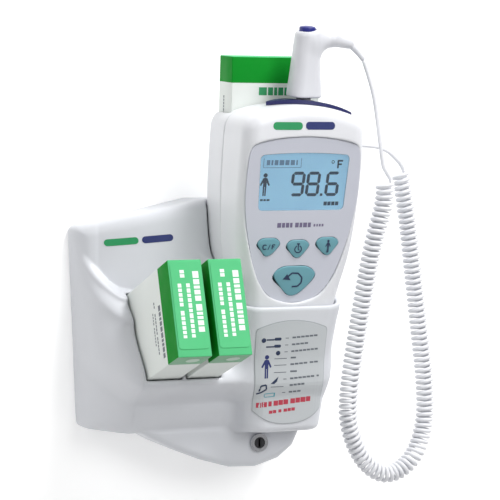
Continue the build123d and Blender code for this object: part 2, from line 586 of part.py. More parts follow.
def make_probe():
    axis = tilted((PROBE_X, PROBE_Y, PROBE_Z), PROBE_LEAN)

    leaf = make_face(ThreePointArc((20.5, -84), (50, -70.5), (77, -76)) + Line((77, -76), (77, -88))
                     + ThreePointArc((77, -88), (50, -93.5), (20.5, -84)))
    slab = Pos(0, 0, 110) * extrude(leaf, amount=50)
    flange = (slab & head_cap(-SKIN - FLANGE_T)) - head_cap(-SKIN)
    well = flange + (well_space(WELL_R, -WELL_L, 2) - head_cap(-60) + well_space(WELL_R, -WELL_L, 2))
    well = well - well_space(WELL_BORE_R, -WELL_L + 1.5, 20)
    save("probe_well", well)

    section = [Pos(0, 0, z) * RectangleRounded(w, d, r) for z, (w, d), r in (
        (HANDLE_FROM, HANDLE_BOTTOM, 8.0), (HANDLE_FROM + 16, HANDLE_MIDDLE, 7.6), (HANDLE_TO, HANDLE_TOP, 6.6))]
    handle = axis * loft(section)
    arm = loft([Plane(origin=ARM_ROOT, z_dir=(1, 0, 0.05)) * Circle(ARM_RADII[0]),
                Plane(origin=ARM_BEND, z_dir=(1, 0, -0.12)) * Circle(ARM_RADII[1]),
                Plane(origin=ARM_END, z_dir=(0.86, 0, -0.5)) * Circle(ARM_RADII[2])])
    handle = handle + arm
    handle = handle - well_space(EJECT_R + 0.3, EJECT_SPRING[0] - SKIN, 60) - well_space(SHAFT_R, 0, 14)
    handle = handle - well_space(EJECT_STEM_R + 0.2, 20, 60)
    handle = handle - axis * Pos(EJECTOR_X, 0, 0) * Cylinder(1.3, 60, align=(Align.CENTER, Align.CENTER, Align.MIN))
    save("probe_handle", handle)

    save("probe_shaft", well_space(SHAFT_R, 5 - SHAFT_L, 14))
    tip = axis * Pos(0, 0, 5 - SHAFT_L) * (Sphere(SHAFT_R) & Box(8, 8, 8, align=(Align.CENTER, Align.CENTER, Align.MAX)))
    save("probe_tip", tip)

    button = well_space(EJECT_R, 42.6, 48.4)
    button = button + well_space(EJECT_STEM_R, 26, 43)
    save("eject_button", button)
    collar = well_space(4.8, -2.6, 3.6) - well_space(SHAFT_R + 0.3, -10, 10)
    link = axis * Pos(EJECTOR_X, 0, 3) * Cylinder(1.0, 39.6, align=(Align.CENTER, Align.CENTER, Align.MIN))
    save("ejector_collar", collar + link)
    low, high = EJECT_SPRING
    coil = Helix(EJECT_SPRING_PITCH, high - low - 2 * EJECT_WIRE_R, EJECT_SPRING_R)
    wire = sweep(Plane(origin=coil @ 0, z_dir=coil % 0) * Circle(EJECT_WIRE_R), path=coil, is_frenet=True)
    save("eject_spring", axis * Pos(0, 0, low + EJECT_WIRE_R) * wire)

    exit_dir = Vector(*LEAD_PROBE[1]) - Vector(*LEAD_PROBE[0])
    relief = loft([Plane(origin=ARM_END, z_dir=(0.86, 0, -0.5)) * Circle(ARM_RADII[2] - 0.2),
                   Plane(origin=RELIEF_BEND, z_dir=(0.78, 0, -0.62)) * Circle(2.4),
                   Plane(origin=Vector(*LEAD_PROBE[0]) - exit_dir.normalized() * SKIN, z_dir=exit_dir) * Circle(1.7)])
    save("probe_strain_relief", relief)


def make_connector():
    side = CENTRE_X + 41
    socket = low_box((side - 9, SOCKET_Y - 4.4, SOCKET_Z - 5.4), (side - 1.6, SOCKET_Y + 4.4, SOCKET_Z + 5.4))
    socket = socket - low_box((side - 6, SOCKET_Y - 3, SOCKET_Z - 4), (side, SOCKET_Y + 3, SOCKET_Z + 4))
    save("probe_socket", socket)
    start = Vector(*LEAD_DEVICE[-1])
    outward = Vector(*LEAD_DEVICE[-2]) - start
    plug = low_box((side - 5.8, SOCKET_Y - 2.9, SOCKET_Z - 3.9), (side + 1.2, SOCKET_Y + 2.9, SOCKET_Z + 3.9))
    plug = plug + fillet(low_box((side + 0.4, SOCKET_Y - 4.2, SOCKET_Z - 5.0),
                                 (side + 8.0, SOCKET_Y + 4.2, SOCKET_Z + 5.0)).edges(), 1.2)
    plug = plug + loft([Plane(origin=(side + 7.0, SOCKET_Y, SOCKET_Z), z_dir=(1, 0, 0)) * Circle(3.2),
                        Plane(origin=start, z_dir=outward) * Circle(1.7)])
    save("probe_plug", plug)


# ---------------------------------------------------------------- curly cord
def route_radii(points):
    """Arc radius at each inner point: 0.45 of the shorter run over the tangent of half the turn."""
    radii = []
    for a, b, c in zip(points, points[1:], points[2:]):
        before = Vector(*b) - Vector(*a)
        after = Vector(*c) - Vector(*b)
        half_turn = math.radians(before.get_angle(after)) / 2
        radii.append(0.45 * min(before.length, after.length) / math.tan(half_turn))
    return radii


def tube(name, points, diameter):
    """Round tube along straight runs joined by tangent arcs."""
    radii = route_radii(points)
    path = FilletPolyline(*points, radius=radii)
    start = Plane(origin=path @ 0, z_dir=path % 0)
    solid = sweep(start * Circle(diameter / 2), path=path)
    save(name, solid)
    expected = math.pi * (diameter / 2) ** 2 * path.length
    print(name, "length", round(path.length, 1), "volume ratio", round(solid.volume / expected, 4),
          "radii", [round(r, 1) for r in radii])


make_mount()
make_lock()
make_cartons()
make_housings()
make_display_and_keys()
make_power()
make_probe()
make_connector()
tube("cord_lead_probe", LEAD_PROBE, WIRE_D)
tube("cord_coil", COIL, COIL_D)
tube("cord_lead_device", LEAD_DEVICE, WIRE_D)
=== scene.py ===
import math

import bmesh
import bpy
import numpy as np
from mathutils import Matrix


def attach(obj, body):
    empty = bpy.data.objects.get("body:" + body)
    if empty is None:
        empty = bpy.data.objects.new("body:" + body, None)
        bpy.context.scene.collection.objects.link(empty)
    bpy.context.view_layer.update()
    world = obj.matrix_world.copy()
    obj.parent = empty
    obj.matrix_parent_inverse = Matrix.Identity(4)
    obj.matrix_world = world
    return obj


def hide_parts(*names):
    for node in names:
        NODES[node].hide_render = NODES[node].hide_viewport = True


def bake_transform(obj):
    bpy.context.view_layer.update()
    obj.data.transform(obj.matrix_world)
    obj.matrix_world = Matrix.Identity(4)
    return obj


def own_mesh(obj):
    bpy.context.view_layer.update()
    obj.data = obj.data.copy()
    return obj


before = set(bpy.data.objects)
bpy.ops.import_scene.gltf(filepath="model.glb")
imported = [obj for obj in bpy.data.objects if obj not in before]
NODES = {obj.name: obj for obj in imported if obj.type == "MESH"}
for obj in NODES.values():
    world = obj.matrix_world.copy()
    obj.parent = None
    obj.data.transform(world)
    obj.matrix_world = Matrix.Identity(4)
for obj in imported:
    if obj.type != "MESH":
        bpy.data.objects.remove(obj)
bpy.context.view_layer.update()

import openvdb
from mathutils import Vector
from mathutils.bvhtree import BVHTree

# Lengths below are millimetres in the model's frame, and MM turns them into Blender's metres.
MM = 0.001

# -------------------------------------------------- driving dimensions, as in the CAD
WALL = 2.5                     # moulded wall
GAP = 0.8                      # clearance between pieces that slide

# wall mount
MOUNT_OUTLINE = [(-82.5, 59.5), (-4.0, 77.0), (77.0, 77.0), (73.5, 20.0), (63.5, -70.0), (-77.5, -70.0)]
EDGE_DEPTH = 13.0
PANEL_DEPTH = 42.0
MOUNT_LEFT = -82.5
BAY_LIP_X = -57.0
SCOOP = [(-70, 52), (-52, 58), (-36, 76), (0, 52), (14, 40), (26, 22)]
SCOOP_RISE = 26                # how much higher the scoop sits at the mount's left edge
CENTRE_X = 39.0
POCKET_Z = [-70.0, -30.0, 15.0, 46.0]
POCKET_HALF = [26.0, 30.5, 35.8, 42.8]
POCKET_FRONT = [73.5, 79.5, 89.3, 96.5]
RIM_Z = 10.0
CHIN_DEPTH = 51.0
CHIN = [(-56, -66), (-30, -80.5), (-10, -88.6), (10, -94.5), (28, -95.2), (44, -90.4), (54, -82.5), (58, -74),
        (58, -66)]
LOCK = (28.9, -79.0)
SHELL_SCREWS = [(-70.0, 46.0), (-66.0, -58.0), (64.0, 64.0), (50.0, -58.0)]
CAM_SLOT = (23.0, 46.0)
CAM_SLOT_Y = (-39.2, -34.4)
SCREW_POST_R, SCREW_HOLE_R, SCREW_HOLE_DEPTH = 3.6, 1.6, 12.0
LOCK_HOLE_R = 5.0
OUTLINE_CORNER = 5.0
EDGE_ROUND = 9.0               # between the mount's front and its sides
POCKET_FILLET = 10.0           # between the cradle pocket and the panel
POCKET_CORNER = 13.0

# thermometer, as values at heights
BODY_Z = [-66.0, -30.0, 15.0, 45.0, 75.0, 105.0, 142.0]
BODY_HALF = [22.5, 25.8, 32.0, 38.4, 40.8, 41.0, 39.5]
BODY_BACK = [-32.0, -32.0, -32.0, -32.0, -32.0, -35.0, -39.0]
BODY_FRONT = [-70.0, -75.0, -85.1, -91.9, -98.6, -105.4, -108.5]
BODY_CORNER = 10.0
TOP_LEFT_Z, TOP_MID_Z, TOP_RIGHT_Z = 129.0, 138.0, 128.0
TOP_SLOPE = 4.0
PARTING_Y, PARTING_Z = -58.0, 40.0
PARTING_TILT = 8.0
PARTING_GAP = 0.12             # from the parting plane to each housing
PARTING_ROUND = 0.9
FOOT_ROUND, HEAD_ROUND = 5.0, 9.0
FACE_POST_R, FRONT_HOLE_R, REAR_HOLE_R, COUNTERBORE_R = 3.4, 1.5, 1.8, 3.2
HOUSING_SCREWS = [(9.0, 51.0), (69.0, 51.0), (24.0, -48.0), (54.0, -48.0)]
DOOR_HALF, DOOR_LOW, DOOR_HIGH = 23.0, -14.0, 40.0
TONGUE_HALF, TONGUE_Z = 9.0, -24.0
SOCKET_Y, SOCKET_Z = -55.5, 111.0
SOCKET_HALF_Y, SOCKET_HALF_Z = 4.6, 5.6

# sloping front face and what is set in it
FACE_SLOPE = 12.68
FACE_CENTRE_Z = 64.0
FACE_CENTRE_Y = -75 - math.tan(math.radians(FACE_SLOPE)) * (FACE_CENTRE_Z + 30)
RECESS = 1.6
FACEPLATE_T = 1.2
SEAT_T = 1.4                   # rim that the faceplate rests on
SYMBOLS_Z = 87.8

# cartons
CARTON_W, CARTON_H, CARTON_L = 21.5, 60.0, 108.0
BAY_TILT = 19.0
BAY_TOP = (-109.5, 43.0)
BAY_CARTON_X = (-43.0, -17.2)
REAR_LEAN = 4.5
REAR_TOP = (35.0, -56.2, 167.5)
REAR_W, REAR_T, REAR_L = 60.0, 21.5, 108.0

# probe, with heights and lengths along its leaning axis
PROBE_AT = (46.6, -82.0, 137.0)
PROBE_LEAN = 8.0
WELL_R = 7.4
HANDLE_Z = [4.6, 20.6, 46.0]
HANDLE_HALF_X = [10.4, 9.1, 7.5]
HANDLE_HALF_Y = [9.7, 8.7, 7.2]
HANDLE_CORNER = 6.8
ARM = [(53.0, -88.0, 175.6), (64.0, -88.8, 177.2), (74.5, -89.0, 174.8)]
ARM_RADII = (5.6, 4.5, 3.4)
RELIEF_BEND = (79.0, -89.2, 171.6)
EJECT_R = 5.2
EJECT_SPRING = (37.8, 42.5)
EJECT_SPRING_R = 2.4
EJECT_WIRE_R = 0.25
EJECT_SPRING_PITCH = 1.05
EJECT_GAP = 0.3
EJECT_BORE_FOOT = 37.7
STEM_BORE_R, STEM_BORE_FOOT = 2.0, 20.0

# label and prints
LABEL_X = 38.0
PRINT_LOW, PRINT_HIGH = -0.05, 0.06

# grids of the smooth shells
MOUNT_STEP, HOUSING_STEP, HANDLE_STEP = 0.8, 0.7, 0.5


class Lean:
    """Axes through a point, turned about X: across is X, back is towards the wall, up leans to the front."""

    def __init__(self, x, y, z, degrees):
        self.x, self.y, self.z = x, y, z
        self.sin, self.cos = math.sin(math.radians(degrees)), math.cos(math.radians(degrees))

    def point(self, across, back, up):
        """Model coordinates of a point given in these axes."""
        return (self.x + across, self.y + back * self.cos - up * self.sin,
                self.z + back * self.sin + up * self.cos)

    def back_and_up(self, y, z):
        """Coordinates in these axes of places in the model."""
        dy, dz = y - self.y, z - self.z
        return dy * self.cos + dz * self.sin, -dy * self.sin + dz * self.cos


BAY_SIN, BAY_COS = math.sin(math.radians(BAY_TILT)), math.cos(math.radians(BAY_TILT))
BAYS = [Lean(x, BAY_TOP[0] - BAY_SIN * CARTON_H / 2, BAY_TOP[1] - BAY_COS * CARTON_H / 2, -BAY_TILT)
        for x in BAY_CARTON_X]     # at the middle of each carton's end
REAR = Lean(*REAR_TOP, REAR_LEAN)
PROBE = Lean(*PROBE_AT, PROBE_LEAN)
FACE = Lean(CENTRE_X, FACE_CENTRE_Y, FACE_CENTRE_Z, FACE_SLOPE)

# -------------------------------------------------- camera, as the photographer stood
TARGET = Vector((20, -59, 45)) * MM
DISTANCE = 1.3
AZIMUTH, ELEVATION = math.radians(22), math.radians(3)
LENS_LENGTH, SENSOR_WIDTH = 147.888, 36.0
camera_data = bpy.data.cameras.new("camera")
camera = bpy.data.objects.new("camera", camera_data)
bpy.context.scene.collection.objects.link(camera)
camera.location = TARGET + DISTANCE * Vector((-math.sin(AZIMUTH) * math.cos(ELEVATION),
                                              -math.cos(AZIMUTH) * math.cos(ELEVATION), math.sin(ELEVATION)))
camera.rotation_euler = (TARGET - camera.location).to_track_quat("-Z", "Y").to_euler()
camera_data.sensor_width = SENSOR_WIDTH
camera_data.lens = LENS_LENGTH
bpy.context.scene.camera = camera
bpy.context.scene.view_settings.view_transform = "Standard"


# -------------------------------------------------- materials
PATCHES, GLOSS_PATCHES = 25.0, 77.5        # waves per metre


class Graph:
    """A material's node tree, with short calls for its nodes and links."""

    def __init__(self, name):
        self.material = bpy.data.materials.new(name)
        self.material.use_nodes = True
        self.tree = self.material.node_tree
        self.shader = self.tree.nodes["Principled BSDF"]

    def node(self, kind, inputs=None, **settings):
        """A new node; each input is a value or the output that feeds it."""
        made = self.tree.nodes.new(kind)
        for key, value in settings.items():
            setattr(made, key, value)
        for key, value in (inputs or {}).items():
            self.feed(made.inputs[key], value)
        return made

    def feed(self, socket, value):
        """Link an output to a socket, or set the socket's value."""
        if isinstance(value, bpy.types.NodeSocket):
            self.tree.links.new(value, socket)
        else:
            socket.default_value = value

    def noise(self, scale, detail=2.0):
        """Noise over the object's own space; the scale is in waves per metre."""
        place = self.node("ShaderNodeTexCoord").outputs["Object"]
        return self.node("ShaderNodeTexNoise", {"Vector": place, "Scale": scale, "Detail": detail}).outputs[0]

    def spread(self, value, low, high, start=0.3, end=0.7):
        """Stretch a value's middle range over a new one."""
        return self.node("ShaderNodeMapRange", {0: value, 1: start, 2: end, 3: low, 4: high}).outputs[0]

    def blend(self, factor, a, b):
        """Mix of two colours."""
        colours = {"Factor": factor, 6: (*a, 1), 7: (*b, 1)}
        return self.node("ShaderNodeMix", colours, data_type="RGBA").outputs[2]

    def set(self, **sockets):
        """Feed the shader's inputs, named with _ for each space."""
        for key, value in sockets.items():
            self.feed(self.shader.inputs[key.replace("_", " ")], value)

    def bump(self, height, strength, distance):
        """Bump the shader's normal by a height."""
        bump = self.node("ShaderNodeBump", {"Height": height, "Strength": strength, "Distance": distance})
        self.tree.links.new(bump.outputs[0], self.shader.inputs["Normal"])


def srgb(r, g, b):
    """Linear colour from 0-255 display values."""
    shares = (r / 255, g / 255, b / 255)
    return tuple(c / 12.92 if c <= 0.04045 else ((c + 0.055) / 1.055) ** 2.4 for c in shares)


def scaled(colour, amount):
    """Colour made lighter or darker."""
    return tuple(min(1.0, c * amount) for c in colour)


def surface(name, colour, roughness, vary=0.06, grain=900.0, grain_depth=0.00003, metallic=0.0, specular=0.5,
            coat=0.0):
    """Moulded, painted or metal surface: soft colour patches, uneven gloss and a fine grain."""
    g = Graph(name)
    tone = g.spread(g.noise(PATCHES, 3.0), 0.0, 1.0)
    g.set(Base_Color=g.blend(tone, scaled(colour, 1 - vary), scaled(colour, 1 + vary)),
          Roughness=g.spread(g.noise(GLOSS_PATCHES), max(0.05, roughness * 0.85), min(1.0, roughness * 1.15)),
          Metallic=metallic, Specular_IOR_Level=specular, Coat_Weight=coat, Coat_Roughness=0.15)
    g.bump(g.noise(grain), 0.35, grain_depth)
    return g.material


def brushed(name, colour, roughness):
    """Metal with fine drawn lines along one axis."""
    g = Graph(name)
    place = g.node("ShaderNodeTexCoord").outputs["Object"]
    stretched = g.node("ShaderNodeMapping", {"Vector": place, "Scale": (1, 1, 60)}).outputs[0]
    lines = g.node("ShaderNodeTexNoise", {"Vector": stretched, "Scale": 300.0, "Detail": 3.0}).outputs[0]
    g.set(Base_Color=g.blend(g.spread(lines, 0, 1), scaled(colour, 0.9), scaled(colour, 1.08)), Metallic=1.0,
          Roughness=g.spread(lines, roughness * 0.7, roughness * 1.4))
    g.bump(lines, 0.2, 0.00002)
    return g.material


def clear(name, colour, roughness, transmission=1.0):
    """Clear or milky plastic with a faint haze."""
    g = Graph(name)
    haze = g.spread(g.noise(60.0), roughness, roughness * 1.5 + 0.02)
    g.set(Base_Color=(*colour, 1), Roughness=haze, Transmission_Weight=transmission, IOR=1.45)
    return g.material


def glowing(name, colour, strength):
    """Lit surface, a little uneven."""
    g = Graph(name)
    tone = g.spread(g.noise(40.0, 1.0), 0.0, 1.0)
    shade = g.blend(tone, scaled(colour, 0.95), scaled(colour, 1.04))
    g.set(Base_Color=shade, Roughness=0.35, Emission_Color=shade, Emission_Strength=strength)
    return g.material


# the mount's white plastic, set a little darker and bluer than the housing's white, partly as painted shade
MOUNT_WHITE_SHADED = surface("mount_white", srgb(216, 218, 223), 0.42, vary=0.015)
HOUSING_WHITE = surface("housing_white", srgb(230, 231, 235), 0.38, vary=0.015)
STEEL = brushed("steel", srgb(170, 172, 176), 0.32)
CHROME = surface("chrome", srgb(205, 206, 210), 0.12, vary=0.02, metallic=1.0, grain_depth=0.000005)
POLISHED = brushed("polished_steel", srgb(205, 207, 210), 0.14)
LOCK_BLACK = surface("lock_black", srgb(38, 38, 42), 0.35)
LABEL = surface("label", srgb(196, 200, 203), 0.5, vary=0.01, grain=2500.0, grain_depth=0.00001)
MINT = surface("carton_mint", srgb(88, 194, 130), 0.65, vary=0.025, grain=1800.0, specular=0.25)
GREEN = surface("carton_green", srgb(0, 140, 36), 0.65, vary=0.04, grain=1800.0, specular=0.15)
BOARD_WHITE = surface("carton_white", srgb(228, 233, 229), 0.6, vary=0.015, grain=1800.0)
# greyer, paler copy of the band's green for the cartons' underside: painted shade and reflection
UNDERSIDE_SHADE_GREEN = surface("carton_underside_shade", srgb(128, 176, 142), 0.58, vary=0.03, grain=1800.0)
COVER_CLEAR = clear("cover_clear", (0.9, 0.95, 0.97), 0.25, 0.6)
FACEPLATE = surface("faceplate_grey", srgb(202, 204, 215), 0.45, vary=0.015, grain=1500.0)
LENS = clear("lens_clear", (0.97, 0.985, 1.0), 0.03)
LCD = glowing("lcd_blue", srgb(158, 208, 236), 0.26)
BACKLIGHT = glowing("backlight", srgb(214, 232, 244), 0.1)
BOARD_GREEN = surface("board_green", srgb(22, 84, 52), 0.35)
CHIP = surface("chip_black", srgb(30, 30, 33), 0.5)
RUBBER = surface("keypad_rubber", srgb(70, 92, 104), 0.7)
CELL = surface("cell", srgb(58, 62, 70), 0.3, coat=0.4)
INNER_BLACK = surface("inner_black", srgb(40, 41, 45), 0.5)
PROBE_WHITE = surface("probe_white", srgb(218, 219, 224), 0.34, vary=0.015)
NAVY = surface("navy", srgb(38, 40, 92), 0.42, vary=0.03)
TEAL = surface("button_teal", srgb(104, 158, 170), 0.5, vary=0.02)
EJECT = surface("eject_blue", srgb(34, 40, 126), 0.38, vary=0.03)
CORD = surface("cord_white", srgb(232, 233, 237), 0.4, vary=0.015)
PRINT_DARK = surface("print_dark", srgb(38, 52, 82), 0.5)
PRINT_WHITE = surface("print_white", srgb(238, 244, 240), 0.55, vary=0.01)
PRINT_GREY = surface("print_grey", srgb(104, 110, 118), 0.55)
PRINT_RED = surface("print_red", srgb(186, 60, 78), 0.5)
PRINT_NAVY = surface("print_navy", srgb(42, 52, 112), 0.5)
PRINT_TEAL = surface("print_teal", srgb(84, 158, 172), 0.5)
PRINT_GREEN = surface("print_green", srgb(40, 150, 92), 0.5)
PRINT_MAUVE = surface("print_mauve", srgb(112, 104, 134), 0.5)
LABEL_EDGE = surface("label_edge", srgb(164, 168, 172), 0.5)
# pale green for a disc on a bay carton's underside: a painted reflection
REFLECTION_GREEN = surface("painted_reflection_green", srgb(186, 208, 192), 0.5)
LCD_DARK = surface("lcd_dark", srgb(32, 66, 92), 0.4)
LCD_FAINT = surface("lcd_faint", srgb(112, 150, 184), 0.4)

for material, names in (
    (MOUNT_WHITE_SHADED, "mount_shell"), (CHROME, "lock_body"), (LOCK_BLACK, "lock_plug"), (LABEL, "cradle_label"),
    (STEEL, "wall_plate shell_screws lock_nut lock_cam lock_cam_screw battery_door_screw battery_contacts"),
    (STEEL, "housing_screws eject_spring"), (MINT, "bay_carton_left bay_carton_right"),
    (BOARD_WHITE, "rear_carton"), (FACEPLATE, "faceplate"), (LENS, "lcd_lens"), (LCD, "lcd_panel"),
    (COVER_CLEAR, "bay_carton_left_covers bay_carton_right_covers rear_carton_covers"), (CELL, "batteries"),
    (HOUSING_WHITE, "front_housing rear_housing battery_door"), (BACKLIGHT, "lcd_backlight"),
    (BOARD_GREEN, "main_board"), (CHIP, "board_chips beeper"), (RUBBER, "keypad_mat"), (NAVY, "probe_well"),
    (INNER_BLACK, "battery_tray probe_socket carton_chamber"), (POLISHED, "probe_shaft probe_tip"),
    (TEAL, "button_pulse button_unit button_mode button_recall"), (EJECT, "eject_button"),
    (PROBE_WHITE, "probe_plug probe_handle probe_strain_relief ejector_collar"),
    (CORD, "cord_lead_probe cord_coil cord_lead_device"),
):
    for name in names.split():
        slots = NODES[name].material_slots
        if not slots:
            NODES[name].data.materials.append(material)
        for place in slots:
            place.material = material


# -------------------------------------------------- mesh helpers
def add_mesh(name, points, faces, materials, body, replaces=(), smooth=True, indices=None):
    """A new piece from points in millimetres, riding on a body unless that is None."""
    mesh = bpy.data.meshes.new(name)
    mesh.from_pydata([Vector(p) * MM for p in points], [], faces)
    mesh.validate()
    for material in materials if isinstance(materials, (list, tuple)) else [materials]:
        mesh.materials.append(material)
    if indices is not None:
        mesh.polygons.foreach_set("material_index", indices)
    mesh.polygons.foreach_set("use_smooth", [smooth] * len(mesh.polygons))
    made = bpy.data.objects.new(name, mesh)
    bpy.context.scene.collection.objects.link(made)
    if body:
        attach(made, body)
    if replaces:
        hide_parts(*replaces)
    return made


def ring_faces(rows, around):
    """Faces between closed rings of points, listed one ring after the other."""
    ring = [(i, (i + 1) % around, around + (i + 1) % around, around + i) for i in range(around)]
    return [tuple(row * around + corner for corner in face) for row in range(rows - 1) for face in ring]


# -------------------------------------------------- the curly cord
LEAD_PROBE = [(84.4, -89.4, 164.9), (91.2, -89.3, 147.0), (94.6, -89.0, 127.5), (97.2, -88.8, 108.0)]
COIL = [(100.2, -88.5, 90.5), (100.4, -88.2, 75.0), (93.8, -86.8, 53.0), (89.2, -84.3, 26.0),
        (84.0, -81.0, -11.0), (80.2, -78.5, -42.0), (80.0, -76.0, -66.0), (91.0, -73.5, -91.0),
        (110.0, -71.0, -104.0), (130.5, -69.0, -94.5), (140.4, -67.0, -70.5), (140.9, -65.5, -45.0),
        (137.5, -64.0, -12.0), (133.2, -62.5, 28.0), (129.6, -60.5, 66.0), (125.6, -59.0, 92.0)]
LEAD_DEVICE = [(123.6, -58.4, 102.0), (115.5, -57.8, 108.6), (104.5, -57.0, 111.2), (93.0, -56.2, 111.0)]
WIRE_D = 2.6
COIL_R = 4.8                   # from the coil's centreline to the wire's
COIL_PITCH = 3.65
TURN_POINTS = 16
COIL_START = 80.0              # length of the straight lead before the first turn
LEAD_END = 42.0
RISE = 12.0                    # length over which the wire swings out to the coil's rim


def route_points(name, points):
    """Points along the NURBS line that has the route's points as its control points."""
    curve = bpy.data.curves.new(name, "CURVE")
    curve.dimensions = "3D"
    spline = curve.splines.new("NURBS")
    spline.points.add(len(points) - 1)
    for place, point in zip(spline.points, points):
        place.co = (*(Vector(point) * MM), 1)
    spline.order_u = 3
    spline.use_endpoint_u = True
    spline.resolution_u = 24
    holder = bpy.data.objects.new(name, curve)
    bpy.context.scene.collection.objects.link(holder)
    bpy.context.view_layer.update()
    line = bpy.data.meshes.new_from_object(holder.evaluated_get(bpy.context.evaluated_depsgraph_get()))
    found = np.array([v.co[:] for v in line.vertices]) / MM
    bpy.data.objects.remove(holder)
    return found


def along(points):
    """Running length at each point of a line."""
    return np.concatenate([[0], np.cumsum(np.linalg.norm(np.diff(points, axis=0), axis=1))])


def carried_frames(points):
    """Two unit vectors across the line at each point, carried along without twist."""
    tangents = np.gradient(points, axis=0)
    tangents /= np.linalg.norm(tangents, axis=1)[:, None]
    side = np.cross(tangents[0], (0, 1, 0))
    side /= np.linalg.norm(side)
    sides = []
    for tangent in tangents:
        side = side - tangent * side.dot(tangent)
        side = side / np.linalg.norm(side)
        sides.append(side)
    sides = np.array(sides)
    return sides, np.cross(tangents, sides)


def tube_mesh(points, radius, around=10):
    """Points and faces of a closed round tube along a line."""
    first, second = carried_frames(points)
    angles = np.arange(around) * 2 * math.pi / around
    rings = (points[:, None] + radius * (np.cos(angles)[None, :, None] * first[:, None]
                                         + np.sin(angles)[None, :, None] * second[:, None]))
    faces = ring_faces(len(points), around)
    faces.append(tuple(reversed(range(around))))
    last = (len(points) - 1) * around
    faces.append(tuple(last + j for j in range(around)))
    return rings.reshape(-1, 3), faces


def make_cord():
    """Wire that runs straight, winds round its route and runs straight again."""
    route = route_points("cord_route", LEAD_PROBE + COIL + LEAD_DEVICE)
    run = along(route)
    total = run[-1]
    coil_end = total - LEAD_END
    coil_length = coil_end - COIL_START
    steps = int(coil_length / COIL_PITCH * TURN_POINTS)
    stations = np.concatenate([np.linspace(0, COIL_START, 30, endpoint=False),
                               np.linspace(COIL_START, coil_end, steps, endpoint=False),
                               np.linspace(coil_end, total, 20)])
    centre = np.stack([np.interp(stations, run, route[:, i]) for i in range(3)], axis=1)
    first, second = carried_frames(centre)
    opened = (np.clip((stations - COIL_START) / RISE + 1, 0, 1)
              * np.clip((coil_end - stations) / RISE + 1, 0, 1))
    radius = COIL_R * opened * opened * (3 - 2 * opened)
    turn = 2 * math.pi * np.clip(stations - COIL_START, 0, coil_length) / COIL_PITCH
    wire = centre + radius[:, None] * (np.cos(turn)[:, None] * first + np.sin(turn)[:, None] * second)
    points, faces = tube_mesh(wire, WIRE_D / 2)
    cord = add_mesh("curly_cord", points, faces, CORD, None,
                    ["cord_lead_probe", "cord_coil", "cord_lead_device"])
    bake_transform(cord)


make_cord()


# -------------------------------------------------- smooth moulded shells from distance fields
def smooth_max(a, b, k):
    """Larger of two fields, with the corner rounded over a width k."""
    return np.maximum(a, b) + np.maximum(k - np.abs(a - b), 0) ** 2 / (4 * k)


def smooth_min(a, b, k):
    """Smaller of two fields, with the corner filled over a width k."""
    return -smooth_max(-a, -b, k)


def cut(a, b, k=1.2):
    """Field a with field b cut out of it, and the cut's edges eased."""
    return smooth_max(a, -b, k)


def polygon_field(points, x, z):
    """Signed distance to a closed polygon, for 2-D arrays of places."""
    points = [np.array(p, float) for p in points]
    distance = np.full(np.broadcast(x, z).shape, 1e9)
    inside = np.zeros(distance.shape, bool)
    for (ax, az), (bx, bz) in zip(points, points[1:] + points[:1]):
        ex, ez = bx - ax, bz - az
        t = np.clip(((x - ax) * ex + (z - az) * ez) / (ex * ex + ez * ez), 0, 1)
        distance = np.minimum(distance, (x - ax - ex * t) ** 2 + (z - az - ez * t) ** 2)
        crosses = (az > z) != (bz > z)
        if ez:
            inside ^= crosses & (x < ax + (z - az) * ex / ez)
    return np.where(inside, -1, 1) * np.sqrt(distance)


def rounded_box_2d(x, y, half_x, half_y, corner):
    """Signed distance to a rectangle with round corners about the origin."""
    qx, qy = np.abs(x) - (half_x - corner), np.abs(y) - (half_y - corner)
    return np.hypot(np.maximum(qx, 0), np.maximum(qy, 0)) + np.minimum(np.maximum(qx, qy), 0) - corner


def box_field(x, y, z, low, high):
    """Signed distance to a box between two corners."""
    centre = [(a + b) / 2 for a, b in zip(low, high)]
    q = [np.abs(p - c) - (b - a) / 2 for p, c, a, b in zip((x, y, z), centre, low, high)]
    outside = np.sqrt(sum(np.maximum(p, 0) ** 2 for p in q))
    return outside + np.minimum(np.maximum(np.maximum(q[0], q[1]), q[2]), 0)


def rod_field(x, y, z, at, radius, near, far):
    """Round bar along Y at (x, z), between two depths."""
    return np.maximum(np.hypot(x - at[0], z - at[1]) - radius, np.maximum(near - y, y - far))


def through(stations, values, z):
    """Smooth curve through values at stations, by cubic pieces with matching slopes."""
    s, v = np.array(stations, float), np.array(values, float)
    slopes = np.gradient(v, s)
    z = np.clip(z, s[0], s[-1])
    i = np.clip(np.searchsorted(s, z) - 1, 0, len(s) - 2)
    h = s[i + 1] - s[i]
    t = (z - s[i]) / h
    return ((1 + 2 * t) * (1 - t) ** 2 * v[i] + t * (1 - t) ** 2 * h * slopes[i]
            + t * t * (3 - 2 * t) * v[i + 1] + t * t * (t - 1) * h * slopes[i + 1])


def grid(low, high, step):
    """Places along the three axes of a box, ready to broadcast."""
    axes = [np.arange(a, b, step, dtype=np.float32) for a, b in zip(low, high)]
    return axes[0][:, None, None], axes[1][None, :, None], axes[2][None, None, :]


def skin(field, low, step):
    """Points and faces of a field's zero surface."""
    volume = openvdb.FloatGrid(3.0)
    volume.copyFromArray(np.clip(field, -3, 3).astype(np.float32))
    volume.gridClass = openvdb.GridClass.LEVEL_SET
    points, triangles, quads = volume.convertToPolygons(isovalue=0.0, adaptivity=0.0)
    faces = [tuple(int(i) for i in reversed(face)) for face in [*triangles, *quads]]
    return points * step + np.array(low), faces


def moulded(name, field, low, step, material, body, node):
    """A smooth piece from a field, in place of a node."""
    points, faces = skin(field, low, step)
    return add_mesh(name, points, faces, material, body, [node])


